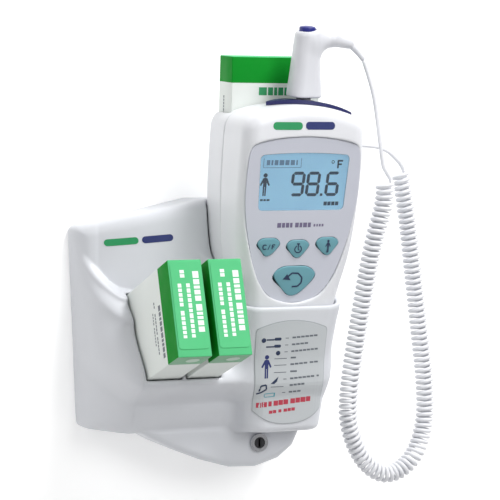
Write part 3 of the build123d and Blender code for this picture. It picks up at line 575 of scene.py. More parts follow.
def body_field(x, y, z, grow=0.0):
    """The thermometer's outer form without its top, grown by an offset."""
    flat = z.ravel()
    half = through(BODY_Z, BODY_HALF, flat)[None, None, :] + grow
    back = through(BODY_Z, BODY_BACK, flat)[None, None, :] + grow
    front = through(BODY_Z, BODY_FRONT, flat)[None, None, :] - grow
    ring = rounded_box_2d(x - CENTRE_X, y - (back + front) / 2, half, (back - front) / 2, BODY_CORNER + grow)
    return 0.98 * ring      # eased, as the sides' slope makes the plain distance too long


def bay_field(x, y, z, bay, grow, reach):
    """Space of one carton in the bay, run outwards by a reach."""
    back, up = bay.back_and_up(y, z)
    return box_field(x - bay.x, up, -back, (-CARTON_W / 2 - grow, -CARTON_H / 2 - grow, -CARTON_L - grow),
                     (CARTON_W / 2 + grow, CARTON_H / 2 + grow, reach))


def mount_depth(x, z):
    """Depth of the mount's moulded front at places in X and Z."""
    across = np.clip((x - MOUNT_LEFT) / (0 - MOUNT_LEFT), 0, 1)
    panel = EDGE_DEPTH + (PANEL_DEPTH - EDGE_DEPTH) * (1 - (1 - across) ** 2)
    flank = np.clip((x - MOUNT_LEFT) / (BAY_LIP_X - MOUNT_LEFT), 0, 1)
    height = z - SCOOP_RISE * (1 - flank) ** 1.5
    low, depth = np.array(SCOOP, float).T
    i = np.clip(np.searchsorted(low, height) - 1, 0, len(low) - 2)
    t = np.clip((height - low[i]) / (low[i + 1] - low[i]), 0, 1)
    scoop = depth[i] + (depth[i + 1] - depth[i]) * t * t * (3 - 2 * t)
    return panel + np.maximum(0, scoop - panel) * (0.5 * flank + 0.5 * flank * flank * (3 - 2 * flank))


def pocket_field(x, y, z):
    """Outside of the cradle pocket, below its sweeping rim."""
    flat = z.ravel()
    half = through(POCKET_Z, POCKET_HALF, flat)[None, None, :]
    front = through(POCKET_Z, POCKET_FRONT, flat)[None, None, :]
    ring = 0.98 * rounded_box_2d(x - CENTRE_X, y + front / 2 - 10, half, front / 2 + 10, POCKET_CORNER)
    back = np.clip((y.ravel() + 104) / 58, 0, 1)
    rim = RIM_Z - 1 + 2 * back + 26 * back ** 2.6
    rim = np.where(y.ravel() > -46, RIM_Z + 27 + (y.ravel() + 46) * 0.3, rim)[None, :, None]
    field = smooth_max(ring, POCKET_Z[0] - z, 4.0)
    return smooth_max(field, (z - rim) * 0.8, 2.4)


def make_mount():
    """The mount's shell: panel, scoop, cradle pocket and chin in one skin, with its spaces cut out."""
    low, high = (-86, -114, -100), (86, 3, 82)
    x, y, z = grid(low, high, MOUNT_STEP)
    x2, z2 = x[:, 0, :], z[:, 0, :]
    outline = polygon_field(MOUNT_OUTLINE, x2, z2)
    inner = polygon_field(shrunk(MOUNT_OUTLINE, OUTLINE_CORNER), x2, z2) - OUTLINE_CORNER
    outline = np.where(inner > -OUTLINE_CORNER, inner, outline)[:, None, :]
    depth = mount_depth(x2, z2)
    slope_x, slope_z = np.gradient(depth, MOUNT_STEP)
    steep = np.sqrt(1 + slope_x ** 2 + slope_z ** 2)
    front = (-y - depth[:, None, :]) / steep[:, None, :]
    solid = smooth_max(outline, front, EDGE_ROUND)
    solid = smooth_min(solid, pocket_field(x, y, z), POCKET_FILLET)
    chin = polygon_field(CHIN, x2, z2)[:, None, :]
    solid = smooth_min(solid, smooth_max(chin, -y - CHIN_DEPTH, 6.0), 1.5)
    inside = solid + WALL
    cavity = smooth_max(body_field(x, y, z, GAP), BODY_Z[0] - GAP - z, 2.0)
    liners = smooth_max(body_field(x, y, z, GAP + WALL), BODY_Z[0] - GAP - WALL - z, 2.0)
    for bay in BAYS:
        liners = np.minimum(liners, bay_field(x, y, z, bay, GAP + WALL / 2, 0))
    for at in SHELL_SCREWS:
        liners = np.minimum(liners, rod_field(x, y, z, at, SCREW_POST_R, -60, -3.3))
    shell = cut(smooth_max(solid, y, 0.8), np.maximum(inside, -liners), 0.8)
    shell = cut(shell, cavity, 1.6)
    for bay in BAYS:
        shell = cut(shell, bay_field(x, y, z, bay, GAP, 70), 2.0)
    for at in SHELL_SCREWS:
        shell = cut(shell, rod_field(x, y, z, at, SCREW_HOLE_R, -SCREW_HOLE_DEPTH, 3), 0.4)
    shell = cut(shell, rod_field(x, y, z, LOCK, LOCK_HOLE_R, -60, -39), 0.6)
    cam_slot = box_field(x, y, z, (CAM_SLOT[0], CAM_SLOT_Y[0], -75), (CAM_SLOT[1], CAM_SLOT_Y[1], -60))
    shell = cut(shell, cam_slot, 0.4)
    return moulded("mount_moulding", shell, low, MOUNT_STEP, MOUNT_WHITE_SHADED, "wall_mount",
                   "mount_shell")


def shrunk(points, inset):
    """A convex polygon with every side moved inwards."""
    lines = []
    middle = np.mean(points, axis=0)
    for a, b in zip(points, points[1:] + points[:1]):
        a, b = np.array(a, float), np.array(b, float)
        normal = np.array((-(b - a)[1], (b - a)[0])) / np.linalg.norm(b - a)
        normal = normal if normal.dot(middle - a) > 0 else -normal
        lines.append((normal, normal.dot(a) + inset))
    corners = []
    for (n1, d1), (n2, d2) in zip([lines[-1]] + lines[:-1], lines):
        corners.append(tuple(np.linalg.solve(np.array([n1, n2]), np.array([d1, d2]))))
    return corners


mount = make_mount()


def shield(grow=0.0):
    """Outline of the faceplate in the front face: arched top, sides that draw in to a round foot."""
    half = [(38.0, 90), (37.0, 70), (33.5, 52), (28.7, 36), (23.6, 25), (15.6, 16.4)]
    right = [(w + grow, (z - FACE_CENTRE_Z) / FACE.cos) for w, z in half]
    foot = [(0.0, (12.5 - FACE_CENTRE_Z) / FACE.cos - grow)]
    shoulder = [(18.0 + grow * 0.5, 114.9), (32.5 + grow, 111.8), (36.6 + grow, 106.5), (37.6 + grow, 100)]
    shoulder = [(w, (z - FACE_CENTRE_Z) / FACE.cos + (grow if z > 110 else grow * 0.5)) for w, z in shoulder]
    crown = [(0.0, (116.0 - FACE_CENTRE_Z) / FACE.cos + grow)]
    left = [(-w, v) for w, v in reversed(shoulder + right)]
    return closed_curve(crown + shoulder + right + foot + left)


def closed_curve(points, steps=8):
    """Smooth closed curve through points."""
    p = np.array(points, float)
    before, after, ahead = np.roll(p, 1, axis=0), np.roll(p, -1, axis=0), np.roll(p, -2, axis=0)
    curve = []
    for i in range(len(p)):
        for t in np.arange(steps) / steps:
            curve.append(0.5 * (2 * p[i] + (after[i] - before[i]) * t
                                + (2 * before[i] - 5 * p[i] + 4 * after[i] - ahead[i]) * t ** 2
                                + (3 * p[i] - before[i] - 3 * after[i] + ahead[i]) * t ** 3))
    return [tuple(q) for q in curve]


def on_slope(points, x, up):
    """Signed distance to an outline drawn in the sloping face, at places across it and up it."""
    fine = 0.5
    low = float(up.min()) - fine
    rows = np.arange(low, float(up.max()) + 2 * fine, fine)
    table = polygon_field(points, x.reshape(-1, 1) - CENTRE_X, rows[None, :])
    at = (up[0] - low) / fine
    i = at.astype(int)
    part = (at - i)[None]
    return table[:, i] * (1 - part) + table[:, i + 1] * part


def top_height(x, y):
    """Height of the head's arched top."""
    t = (x - CENTRE_X) / 43
    sag = TOP_MID_Z - (TOP_LEFT_Z + TOP_RIGHT_Z) / 2
    arch = TOP_MID_Z - sag * t * t + (TOP_RIGHT_Z - TOP_LEFT_Z) / 2 * t
    return arch + 5 + y * math.tan(math.radians(TOP_SLOPE))


def make_housings():
    """The thermometer's two housings: one shell with its openings and posts, parted by a leaning plane."""
    low, high = (-5, -113, -69), (83, -28, 147)
    x, y, z = grid(low, high, HOUSING_STEP)
    top = z - top_height(x, y)
    outer = smooth_max(smooth_max(body_field(x, y, z), BODY_Z[0] - z, FOOT_ROUND), top, HEAD_ROUND)
    shell = smooth_max(outer, -(outer + WALL), 0.5)
    shell = cut(shell, chamber_field(x, y, z, GAP, 20), 1.6)
    back, up = PROBE.back_and_up(y, z)
    well = np.maximum(np.hypot(x - PROBE.x, back) - WELL_R - 0.2, np.abs(up) - 25)
    shell = cut(shell, well, 0.6)

    back, up = FACE.back_and_up(y, z)
    out = -back
    plate, inner, seat = (on_slope(shield(grow), x, up) for grow in (0.0, -3.0, 1.0))
    behind = out + RECESS + FACEPLATE_T      # positive in front of the faceplate's back
    shell = cut(shell, smooth_max(plate, -behind, 0.3), 1.0)
    ring = np.maximum(np.maximum(seat, -inner), np.abs(behind + SEAT_T / 2) - SEAT_T / 2)
    ring = np.maximum(ring, outer + 0.4)
    shell = np.minimum(shell, ring)
    shell = np.maximum(shell, -np.maximum(inner, np.abs(out) - 16))

    for at in HOUSING_SCREWS:
        post = np.maximum(rod_field(x, y, z, at, FACE_POST_R, -95, -33), outer + 1.0)
        post = np.maximum(post, behind + 2.2)
        shell = np.minimum(shell, post)
    tilt = math.radians(PARTING_TILT)
    side = (y - PARTING_Y) * math.cos(tilt) + (z - PARTING_Z) * math.sin(tilt)
    front = smooth_max(shell, side + PARTING_GAP, PARTING_ROUND)
    rear = smooth_max(shell, PARTING_GAP - side, PARTING_ROUND)
    for at in HOUSING_SCREWS:
        counterbore = rod_field(x, y, z, at, COUNTERBORE_R, -36.4, -20)
        rear = cut(rear, np.minimum(rod_field(x, y, z, at, REAR_HOLE_R, -80, -20), counterbore), 0.4)
        front = cut(front, rod_field(x, y, z, at, FRONT_HOLE_R, -66, -20), 0.4)
    door = np.minimum(
        box_field(x, y, z, (CENTRE_X - DOOR_HALF, -40, DOOR_LOW), (CENTRE_X + DOOR_HALF, -20, DOOR_HIGH)),
        box_field(x, y, z, (CENTRE_X - TONGUE_HALF, -40, TONGUE_Z), (CENTRE_X + TONGUE_HALF, -20, 0)))
    rear = cut(rear, door, 0.5)
    cam_slot = box_field(x, y, z, (CAM_SLOT[0], CAM_SLOT_Y[0] - 0.3, -70),
                         (CAM_SLOT[1], CAM_SLOT_Y[1] + 0.3, -60))
    socket = box_field(x, y, z, (70, SOCKET_Y - SOCKET_HALF_Y, SOCKET_Z - SOCKET_HALF_Z),
                       (90, SOCKET_Y + SOCKET_HALF_Y, SOCKET_Z + SOCKET_HALF_Z))
    rear = cut(cut(rear, cam_slot, 0.4), socket, 0.6)
    for name, field in (("front_housing", front), ("rear_housing", rear)):
        moulded(name + "_moulding", field, low, HOUSING_STEP, HOUSING_WHITE, "thermometer",
                name)


def chamber_field(x, y, z, grow, reach):
    """Space of the rear carton in the head, run upwards by a reach."""
    back, up = REAR.back_and_up(y, z)
    return box_field(x - REAR.x, back, up, (-REAR_W / 2 - grow, -REAR_T / 2 - grow, -REAR_L - grow),
                     (REAR_W / 2 + grow, REAR_T / 2 + grow, reach))


make_housings()


# -------------------------------------------------- probe handle with its arm
def limb_field(x, y, z, a, b, radius_a, radius_b):
    """Round limb between two points, with a radius at each."""
    run = [q - p for p, q in zip(a, b)]
    part = ((x - a[0]) * run[0] + (y - a[1]) * run[1] + (z - a[2]) * run[2]) / sum(r * r for r in run)
    part = np.clip(part, 0, 1)
    away = np.sqrt(sum((p - q - part * r) ** 2 for p, q, r in zip((x, y, z), a, run)))
    return away - (radius_a + part * (radius_b - radius_a))


def make_handle():
    """The probe's handle with its swan-neck arm, and the cord's strain relief at the arm's end."""
    low, high = (33, -108, 138), (80, -70, 188)
    x, y, z = grid(low, high, HANDLE_STEP)
    across = x - PROBE.x
    back, up = PROBE.back_and_up(y, z)
    half_x, half_y = np.interp(up, HANDLE_Z, HANDLE_HALF_X), np.interp(up, HANDLE_Z, HANDLE_HALF_Y)
    field = rounded_box_2d(across, back, half_x, half_y, HANDLE_CORNER)
    field = smooth_max(smooth_max(field, up - HANDLE_Z[-1], 3.6), HANDLE_Z[0] - up, 1.5)
    arm = limb_field(x, y, z, ARM[0], ARM[1], ARM_RADII[0], ARM_RADII[1])
    arm = smooth_min(arm, limb_field(x, y, z, ARM[1], ARM[2], ARM_RADII[1], ARM_RADII[2]), 2.0)
    field = smooth_min(field, arm, 8.0)
    from_axis = np.sqrt(across ** 2 + back ** 2)
    field = cut(field, np.maximum(from_axis - EJECT_R - EJECT_GAP, EJECT_BORE_FOOT - up), 1.0)
    field = np.maximum(field, -np.maximum(from_axis - STEM_BORE_R, STEM_BORE_FOOT - up))
    moulded("probe_handle_moulding", field, low, HANDLE_STEP, PROBE_WHITE, "probe",
            "probe_handle")

    start, bend, end = (np.array(q) for q in (ARM[2], RELIEF_BEND, LEAD_PROBE[0]))
    part = np.linspace(0, 1, 24)[:, None]
    line = start * (1 - part) ** 2 + 2 * bend * part * (1 - part) + end * part ** 2
    line[0] = line[1] - (line[2] - line[1]) * 2.5
    points, faces = tube_mesh(line, np.interp(part, (0, 0.2, 1), (2.6, 2.1, 1.45))[:, :, None], 20)
    add_mesh("probe_relief", points, faces, PROBE_WHITE, "probe", ["probe_strain_relief"])


def make_eject_cap():
    """Round cap with an eased rim and a faint dome, on its stem, turned about the probe's axis."""
    profile = [(0.0, 26.0), (1.8, 26.0), (1.8, 42.6), (EJECT_R, 42.6), (EJECT_R, 47.2)]
    profile += [(EJECT_R - 1.2 + 1.2 * math.cos(a), 47.2 + 1.2 * math.sin(a))
                for a in np.linspace(0.3, math.pi / 2, 5)]
    profile += [(2.4, 48.75), (0.0, 48.9)]
    around = 40
    points = [PROBE.point(radius * math.cos(a), radius * math.sin(a), up)
              for radius, up in profile for a in np.arange(around) * 2 * math.pi / around]
    faces = ring_faces(len(profile), around)
    cap = add_mesh("eject_button_cap", points, faces, EJECT, "ejector", ["eject_button"])
    bm = bmesh.new()
    bm.from_mesh(cap.data)
    bmesh.ops.remove_doubles(bm, verts=bm.verts[:], dist=1e-7)
    bm.to_mesh(cap.data)
    bm.free()
    cap.data.set_sharp_from_angle(angle=math.radians(40))


def make_eject_spring():
    """Coil spring between the handle's counterbore and the cap."""
    low, high = EJECT_SPRING
    rise = high - low - 2 * EJECT_WIRE_R
    turns = rise / EJECT_SPRING_PITCH
    part = np.linspace(0, 1, int(turns * 28))
    angle = 2 * math.pi * turns * part
    wire = np.stack(PROBE.point(EJECT_SPRING_R * np.cos(angle), EJECT_SPRING_R * np.sin(angle),
                                low + EJECT_WIRE_R + rise * part), axis=1)
    points, faces = tube_mesh(wire, EJECT_WIRE_R)
    spring = add_mesh("eject_spring_coil", points, faces, STEEL, "probe", ["eject_spring"])
    foot = tuple(q * MM for q in PROBE.point(0, 0, low))
    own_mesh(spring)


make_handle()
make_eject_cap()
make_eject_spring()


# -------------------------------------------------- flat outlines for prints, symbols and segments
def rect(x, y, width, height):
    """Rectangle about a centre."""
    w, h = width / 2, height / 2
    return [(x - w, y - h), (x + w, y - h), (x + w, y + h), (x - w, y + h)]


def rounded_rect(x, y, width, height, corner, steps=5):
    """Rectangle about a centre, with round corners."""
    points = []
    for sx, sy, start in ((1, -1, -90), (1, 1, 0), (-1, 1, 90), (-1, -1, 180)):
        cx, cy = x + sx * (width / 2 - corner), y + sy * (height / 2 - corner)
        for i in range(steps + 1):
            angle = math.radians(start + 90 * i / steps)
            points.append((cx + corner * math.cos(angle), cy + corner * math.sin(angle)))
    return points


def disc(x, y, radius, steps=24):
    """Many-sided disc about a centre."""
    return [(x + radius * math.cos(2 * math.pi * i / steps), y + radius * math.sin(2 * math.pi * i / steps))
            for i in range(steps)]


def stroke(points, width):
    """One bar for each run of a line, square at both ends."""
    bars = []
    for (ax, ay), (bx, by) in zip(points, points[1:]):
        length = math.hypot(bx - ax, by - ay)
        tx, ty = (bx - ax) / length, (by - ay) / length
        nx, ny = -ty * width / 2, tx * width / 2
        bars.append([(ax + nx, ay + ny), (ax - nx, ay - ny), (bx - nx, by - ny), (bx + nx, by + ny)])
    return bars


def person(x, y, height):
    """Plain standing figure: a head, sloping arms and two straight legs."""
    h = height
    half = [(0.09, 0.28), (0.23, -0.02), (0.17, -0.06), (0.08, 0.1), (0.075, -0.5), (0.012, -0.5),
            (0.012, -0.1)]
    body = [(0, 0.30)] + half + [(-u, v) for u, v in reversed(half)]
    return [disc(x, y + 0.4 * h, 0.095 * h, 16), [(x + u * h, y + v * h) for u, v in reversed(body)]]


def words(x, y, height, widths, gap, down=False):
    """A row of plain blocks standing in for words, running right or down; a negative width is a space."""
    blocks = []
    at = 0.0
    for width in widths:
        middle = at + abs(width) / 2
        if width > 0:
            blocks.append(rect(x, y - middle, height, width) if down else rect(x + middle, y, width, height))
        at += abs(width) + gap
    return blocks


def segments(digit, x, y, width, height, thick, slant):
    """Seven-segment numeral as six-sided bars."""
    w, h, t, g = width / 2, height / 2, thick / 2, 0.12
    level = {"a": h - t, "g": 0, "d": -h + t}
    bars = []
    for name in {"9": "abcdfg", "8": "abcdefg", "6": "acdefg"}[digit]:
        if name in level:
            v = level[name]
            bars.append([(-w + t + g, v), (-w + 2 * t + g, v - t), (w - 2 * t - g, v - t), (w - t - g, v),
                         (w - 2 * t - g, v + t), (-w + 2 * t + g, v + t)])
        else:
            u = w - t if name in "bc" else -w + t
            low, high = (g, h - t - g) if name in "bf" else (-h + t + g, -g)
            bars.append([(u, low), (u + t, low + t), (u + t, high - t), (u, high), (u - t, high - t),
                         (u - t, low + t)])
    return [[(x + u + slant * v, y + v) for u, v in bar] for bar in bars]


def prisms(polygons, place, low, high):
    """Points and faces of straight-sided plates between two heights over a surface."""
    points, faces = [], []
    for polygon in polygons:
        start, n = len(points), len(polygon)
        points += [place(u, v, low) for u, v in polygon] + [place(u, v, high) for u, v in polygon]
        faces.append(tuple(start + i for i in reversed(range(n))))
        faces.append(tuple(start + n + i for i in range(n)))
        faces += [(start + i, start + (i + 1) % n, start + n + (i + 1) % n, start + n + i) for i in range(n)]
    return points, faces


def plates(name, groups, place, body):
    """One piece from groups of (polygons, low, high, material) laid over a surface."""
    points, faces, indices, materials = [], [], [], []
    for number, (polygons, low, high, material) in enumerate(groups):
        more, sides = prisms(polygons, place, low, high)
        faces += [tuple(i + len(points) for i in face) for face in sides]
        points += more
        indices += [number] * len(sides)
        materials.append(material)
    return add_mesh(name, points, faces, materials, body, smooth=False, indices=indices)


def draped(name, groups, depth, body, step=2.0, replaces=()):
    """Thin plates that follow a surface y = -depth(x, z): groups of (polygons, low, high, material)."""
    points, faces, indices, materials = [], [], [], []
    for number, (polygons, low, high, material) in enumerate(groups):
        bm = bmesh.new()
        for polygon in polygons:
            bm.faces.new([bm.verts.new((x, 0, z)) for x, z in polygon])
        xs = [v.co.x for v in bm.verts]
        zs = [v.co.z for v in bm.verts]
        for values, normal in ((xs, (1, 0, 0)), (zs, (0, 0, 1))):
            for at in np.arange(math.floor(min(values) / step) * step, max(values), step):
                bmesh.ops.bisect_plane(bm, geom=bm.verts[:] + bm.edges[:] + bm.faces[:], dist=1e-5,
                                       plane_co=[at * n for n in normal], plane_no=normal)
        bm.verts.index_update()
        x = np.array([v.co.x for v in bm.verts])
        z = np.array([v.co.z for v in bm.verts])
        small = 0.05
        normal = np.stack([(depth(x - small, z) - depth(x + small, z)) / (2 * small), -np.ones(len(x)),
                           (depth(x, z - small) - depth(x, z + small)) / (2 * small)], axis=1)
        normal /= np.linalg.norm(normal, axis=1)[:, None]
        base = np.stack([x, -depth(x, z), z], axis=1)
        start, n = len(points), len(x)
        points += [tuple(q) for q in base + normal * low] + [tuple(q) for q in base + normal * high]
        before = len(faces)
        for face in bm.faces:
            ring = [v.index for v in face.verts]
            if face.normal.y > 0:
                ring.reverse()
            faces.append(tuple(start + n + i for i in ring))
            faces.append(tuple(start + i for i in reversed(ring)))
            rim = {frozenset(v.index for v in edge.verts) for edge in face.edges if edge.is_boundary}
            faces += [(start + a, start + b, start + n + b, start + n + a)
                      for a, b in zip(ring, ring[1:] + ring[:1]) if frozenset((a, b)) in rim]
        indices += [number] * (len(faces) - before)
        materials.append(material)
        bm.free()
    return add_mesh(name, points, faces, materials, body, replaces, smooth=False, indices=indices)


# -------------------------------------------------- display, keys and marks on the thermometer
def on_face(x=CENTRE_X, z=FACE_CENTRE_Z):
    """Placing function for (right, up the slope, out of the face), from a point of the face."""
    start = Lean(x, FACE_CENTRE_Y - FACE.sin / FACE.cos * (z - FACE_CENTRE_Z), z, FACE_SLOPE)
    return lambda u, v, w: start.point(u, -w, v)


LCD_TOP = -RECESS - FACEPLATE_T - 0.1      # the display glass, measured out of the face


def make_display():
    """Temperature, unit, figure and level marks as thin plates on the display glass."""
    dark = []
    for digit, x in (("9", -3.4), ("8", 6.9), ("6", 20.0)):
        dark += segments(digit, x, -1.0, 9.2, 15.6, 1.9, 0.05)
    dark.append(rect(13.1, -7.9, 1.6, 1.6))
    dark += person(-25.3, -1.2, 14.4)
    dark += words(-27.6, -11.0, 1.2, (1.8, 1.5, 2.0), 0.5)
    dark += [rect(22.75, 11.55, 1.1, 5.3), rect(24.6, 13.65, 2.6, 1.1), rect(24.25, 11.4, 1.9, 1.0)]
    dark += [rect(x, 12.9, 0.5, 0.9) for x in (18.4, 20.0)] + [rect(19.2, y, 1.3, 0.5) for y in (13.7, 12.1)]
    dark += [rect(x, -13.6, 2.2, 2.4) for x in (16.4, 19.0, 21.6, 24.2)]
    frame_lines = [(-27.2, 9.6), (-27.2, 15.4)], [(-27.2, 9.4), (-2.2, 9.4)], [(-2.2, 9.6), (-2.2, 15.4)]
    faint = [bar for line in frame_lines for bar in stroke(line, 0.35)]
    faint += words(-25.2, 12.6, 3.2, (2.2, 1.2, 2.4, 3.0, 2.6, 2.8, 1.0), 0.9)
    groups = [(shapes, LCD_TOP + 0.01, LCD_TOP + ink, shade)
              for shapes, ink, shade in ((dark, 0.08, LCD_DARK), (faint, 0.048, LCD_FAINT))]
    plates("lcd_segments", groups, on_face(z=SYMBOLS_Z), "thermometer")


# place across the face, height, width, height of the outline, lean of its foot, body
KEYS = {
    "button_unit": (-19.8, 48.0, 15.0, 11.4, -0.6, "unit_key"),
    "button_pulse": (0.0, 46.6, 15.0, 11.4, 0.0, "pulse_key"),
    "button_mode": (19.8, 48.0, 15.0, 11.4, 0.6, "mode_key"),
    "button_recall": (-0.6, 26.5, 28.0, 19.0, -0.8, "recall_key"),
}
KEY_TOP = 0.8 - RECESS         # the key's rim, measured out of the face
KEY_DEPTH = 2.2
KEY_EDGE = 0.7
KEY_CROWN = 0.35
KEY_SYMBOLS = {
    "button_unit": stroke([(-1.7, 1.3), (-2.3, 1.7), (-3.3, 1.7), (-3.9, 1.1), (-3.9, -0.5), (-3.3, -1.1),
                           (-2.3, -1.1), (-1.7, -0.7)], 0.65)
    + stroke([(-0.6, -1.4), (0.8, 1.9)], 0.5) + stroke([(2.2, -1.1), (2.2, 1.7), (4.1, 1.7)], 0.65)
    + stroke([(2.2, 0.4), (3.6, 0.4)], 0.6),
    "button_pulse": stroke([(0.9, 2.2), (1.9, 1.2), (2.3, -0.1), (1.9, -1.3), (0.9, -2.1), (-0.9, -2.1),
                            (-1.9, -1.3), (-2.3, -0.1), (-1.9, 1.2), (-0.9, 2.2)], 0.7)
    + stroke([(0, 3.1), (0, -0.1), (1.0, -0.7)], 0.7) + [rect(0, 3.4, 2.0, 0.8)],
    "button_mode": person(0.4, 0.2, 8.2),
    "button_recall": stroke([(-5.0, 2.6), (-2.0, 5.2), (2.2, 5.0), (4.9, 2.2), (4.7, -1.2), (2.4, -3.4),
                             (-1.4, -3.6)], 1.0)
    + [[(-8.0, 1.2), (-2.6, 0.6), (-5.2, 4.6)]],
}


def key_outline(width, height, lean, inset):
    """Key outline: a plectrum with a flat arched top and a round foot."""
    w, h = width / 2, height / 2
    points = [(-w, h * 0.42), (-w * 0.62, h * 0.93), (0, h), (w * 0.62, h * 0.93), (w, h * 0.42),
              (w * 0.62, -h * 0.42), (lean + w * 0.18, -h * 0.96), (lean - w * 0.18, -h * 0.96),
              (-w * 0.62, -h * 0.42)]
    curve = np.array(closed_curve(points, 8))
    along_curve = np.roll(curve, -1, axis=0) - np.roll(curve, 1, axis=0)
    along_curve /= np.linalg.norm(along_curve, axis=1)[:, None]
    inward = np.stack([along_curve[:, 1], -along_curve[:, 0]], axis=1)
    return curve + inward * inset


def make_keys():
    """Four keys with straight sides, an eased rim and a crowned top, each with its symbol."""
    for name, (dx, z, width, height, lean, body) in KEYS.items():
        place = on_face(CENTRE_X + dx, z)
        rings = [(0.0, KEY_TOP - KEY_DEPTH), (0.0, KEY_TOP - KEY_EDGE)]
        for i in range(1, 6):
            angle = math.radians(18 * i)
            rings.append((KEY_EDGE * (1 - math.cos(angle)), KEY_TOP - KEY_EDGE * (1 - math.sin(angle))))
        points = [place(u, v, w) for inset, w in rings for u, v in key_outline(width, height, lean, inset)]
        last = key_outline(width, height, lean, KEY_EDGE)
        centre = last.mean(axis=0)
        for part in (0.8, 0.6, 0.4, 0.2):
            lift = KEY_CROWN * (1 - part * part)
            points += [place(*(centre + (q - centre) * part), KEY_TOP + lift) for q in last]
        points.append(place(*centre, KEY_TOP + KEY_CROWN))
        n, rows = len(last), len(rings) + 4
        faces = [tuple(reversed(face)) for face in ring_faces(rows, n)]
        faces += [((rows - 1) * n + (i + 1) % n, (rows - 1) * n + i, rows * n) for i in range(n)]
        faces.append(tuple(range(n)))
        add_mesh(name + "_cap", points, faces, TEAL, body, [name])
        high = KEY_TOP + KEY_CROWN
        symbol = (KEY_SYMBOLS[name], high - 0.45, high + 0.05, PRINT_DARK)
        plates(name + "_symbol", [symbol], place, body)


def front_of(piece):
    """Depth function of a piece's front surface, found by looking at it along +Y."""
    mesh = piece.data
    tree = BVHTree.FromPolygons([v.co[:] for v in mesh.vertices], [f.vertices[:] for f in mesh.polygons])

    def depth(x, z):
        found = []
        for at_x, at_z in zip(x, z):
            hit = tree.ray_cast(Vector((at_x, -200, at_z)) * MM, Vector((0, 1, 0)))[0]
            found.append(-hit.y / MM if hit else 0.0)
        return np.array(found)
    return depth


def head_front(x, z):
    """Depth of the head's front above the faceplate."""
    return -through(BODY_Z, BODY_FRONT, z) + 0 * x


def make_marks():
    """Two-tone bars on the head and the mount, and blocks under the display, where names would stand."""
    inks = (PRINT_GREEN, PRINT_NAVY)
    head_bars = rounded_rect(25.6, 123.0, 19.5, 4.8, 2.2), rounded_rect(47.2, 123.2, 19.5, 4.8, 2.2)
    draped("head_mark", [([bar], -0.05, 0.12, ink) for bar, ink in zip(head_bars, inks)], head_front,
           "thermometer")
    lean = math.radians(5)
    sine, cosine = math.sin(lean), math.cos(lean)
    mount_bars = [[(start + u * cosine - v * sine, 49.6 + (start + 63 + u) * sine + v * cosine)
                   for u, v in rounded_rect(length / 2, 0, length, 4.4, 2.1)]
                  for start, length in ((-65.5, 20.0), (-43.5, 19.0))]
    draped("mount_mark", [([bar], -0.15, 0.15, ink) for bar, ink in zip(mount_bars, inks)], front_of(mount),
           "wall_mount")
    blocks = words(-15.0, 0, 3.0, (2.6, 2.0, 2.2, 1.6, -0.6, 2.4, 1.8, 2.6, 2.0), 0.6)
    blocks += words(9.5, -0.3, 1.6, (1.2, 1.0, 1.2, 1.2), 0.7)
    plates("name_blocks", [(blocks, -RECESS + PRINT_LOW, -RECESS + PRINT_HIGH, PRINT_MAUVE)], on_face(z=61.5),
           "thermometer")


make_display()
make_keys()
make_marks()


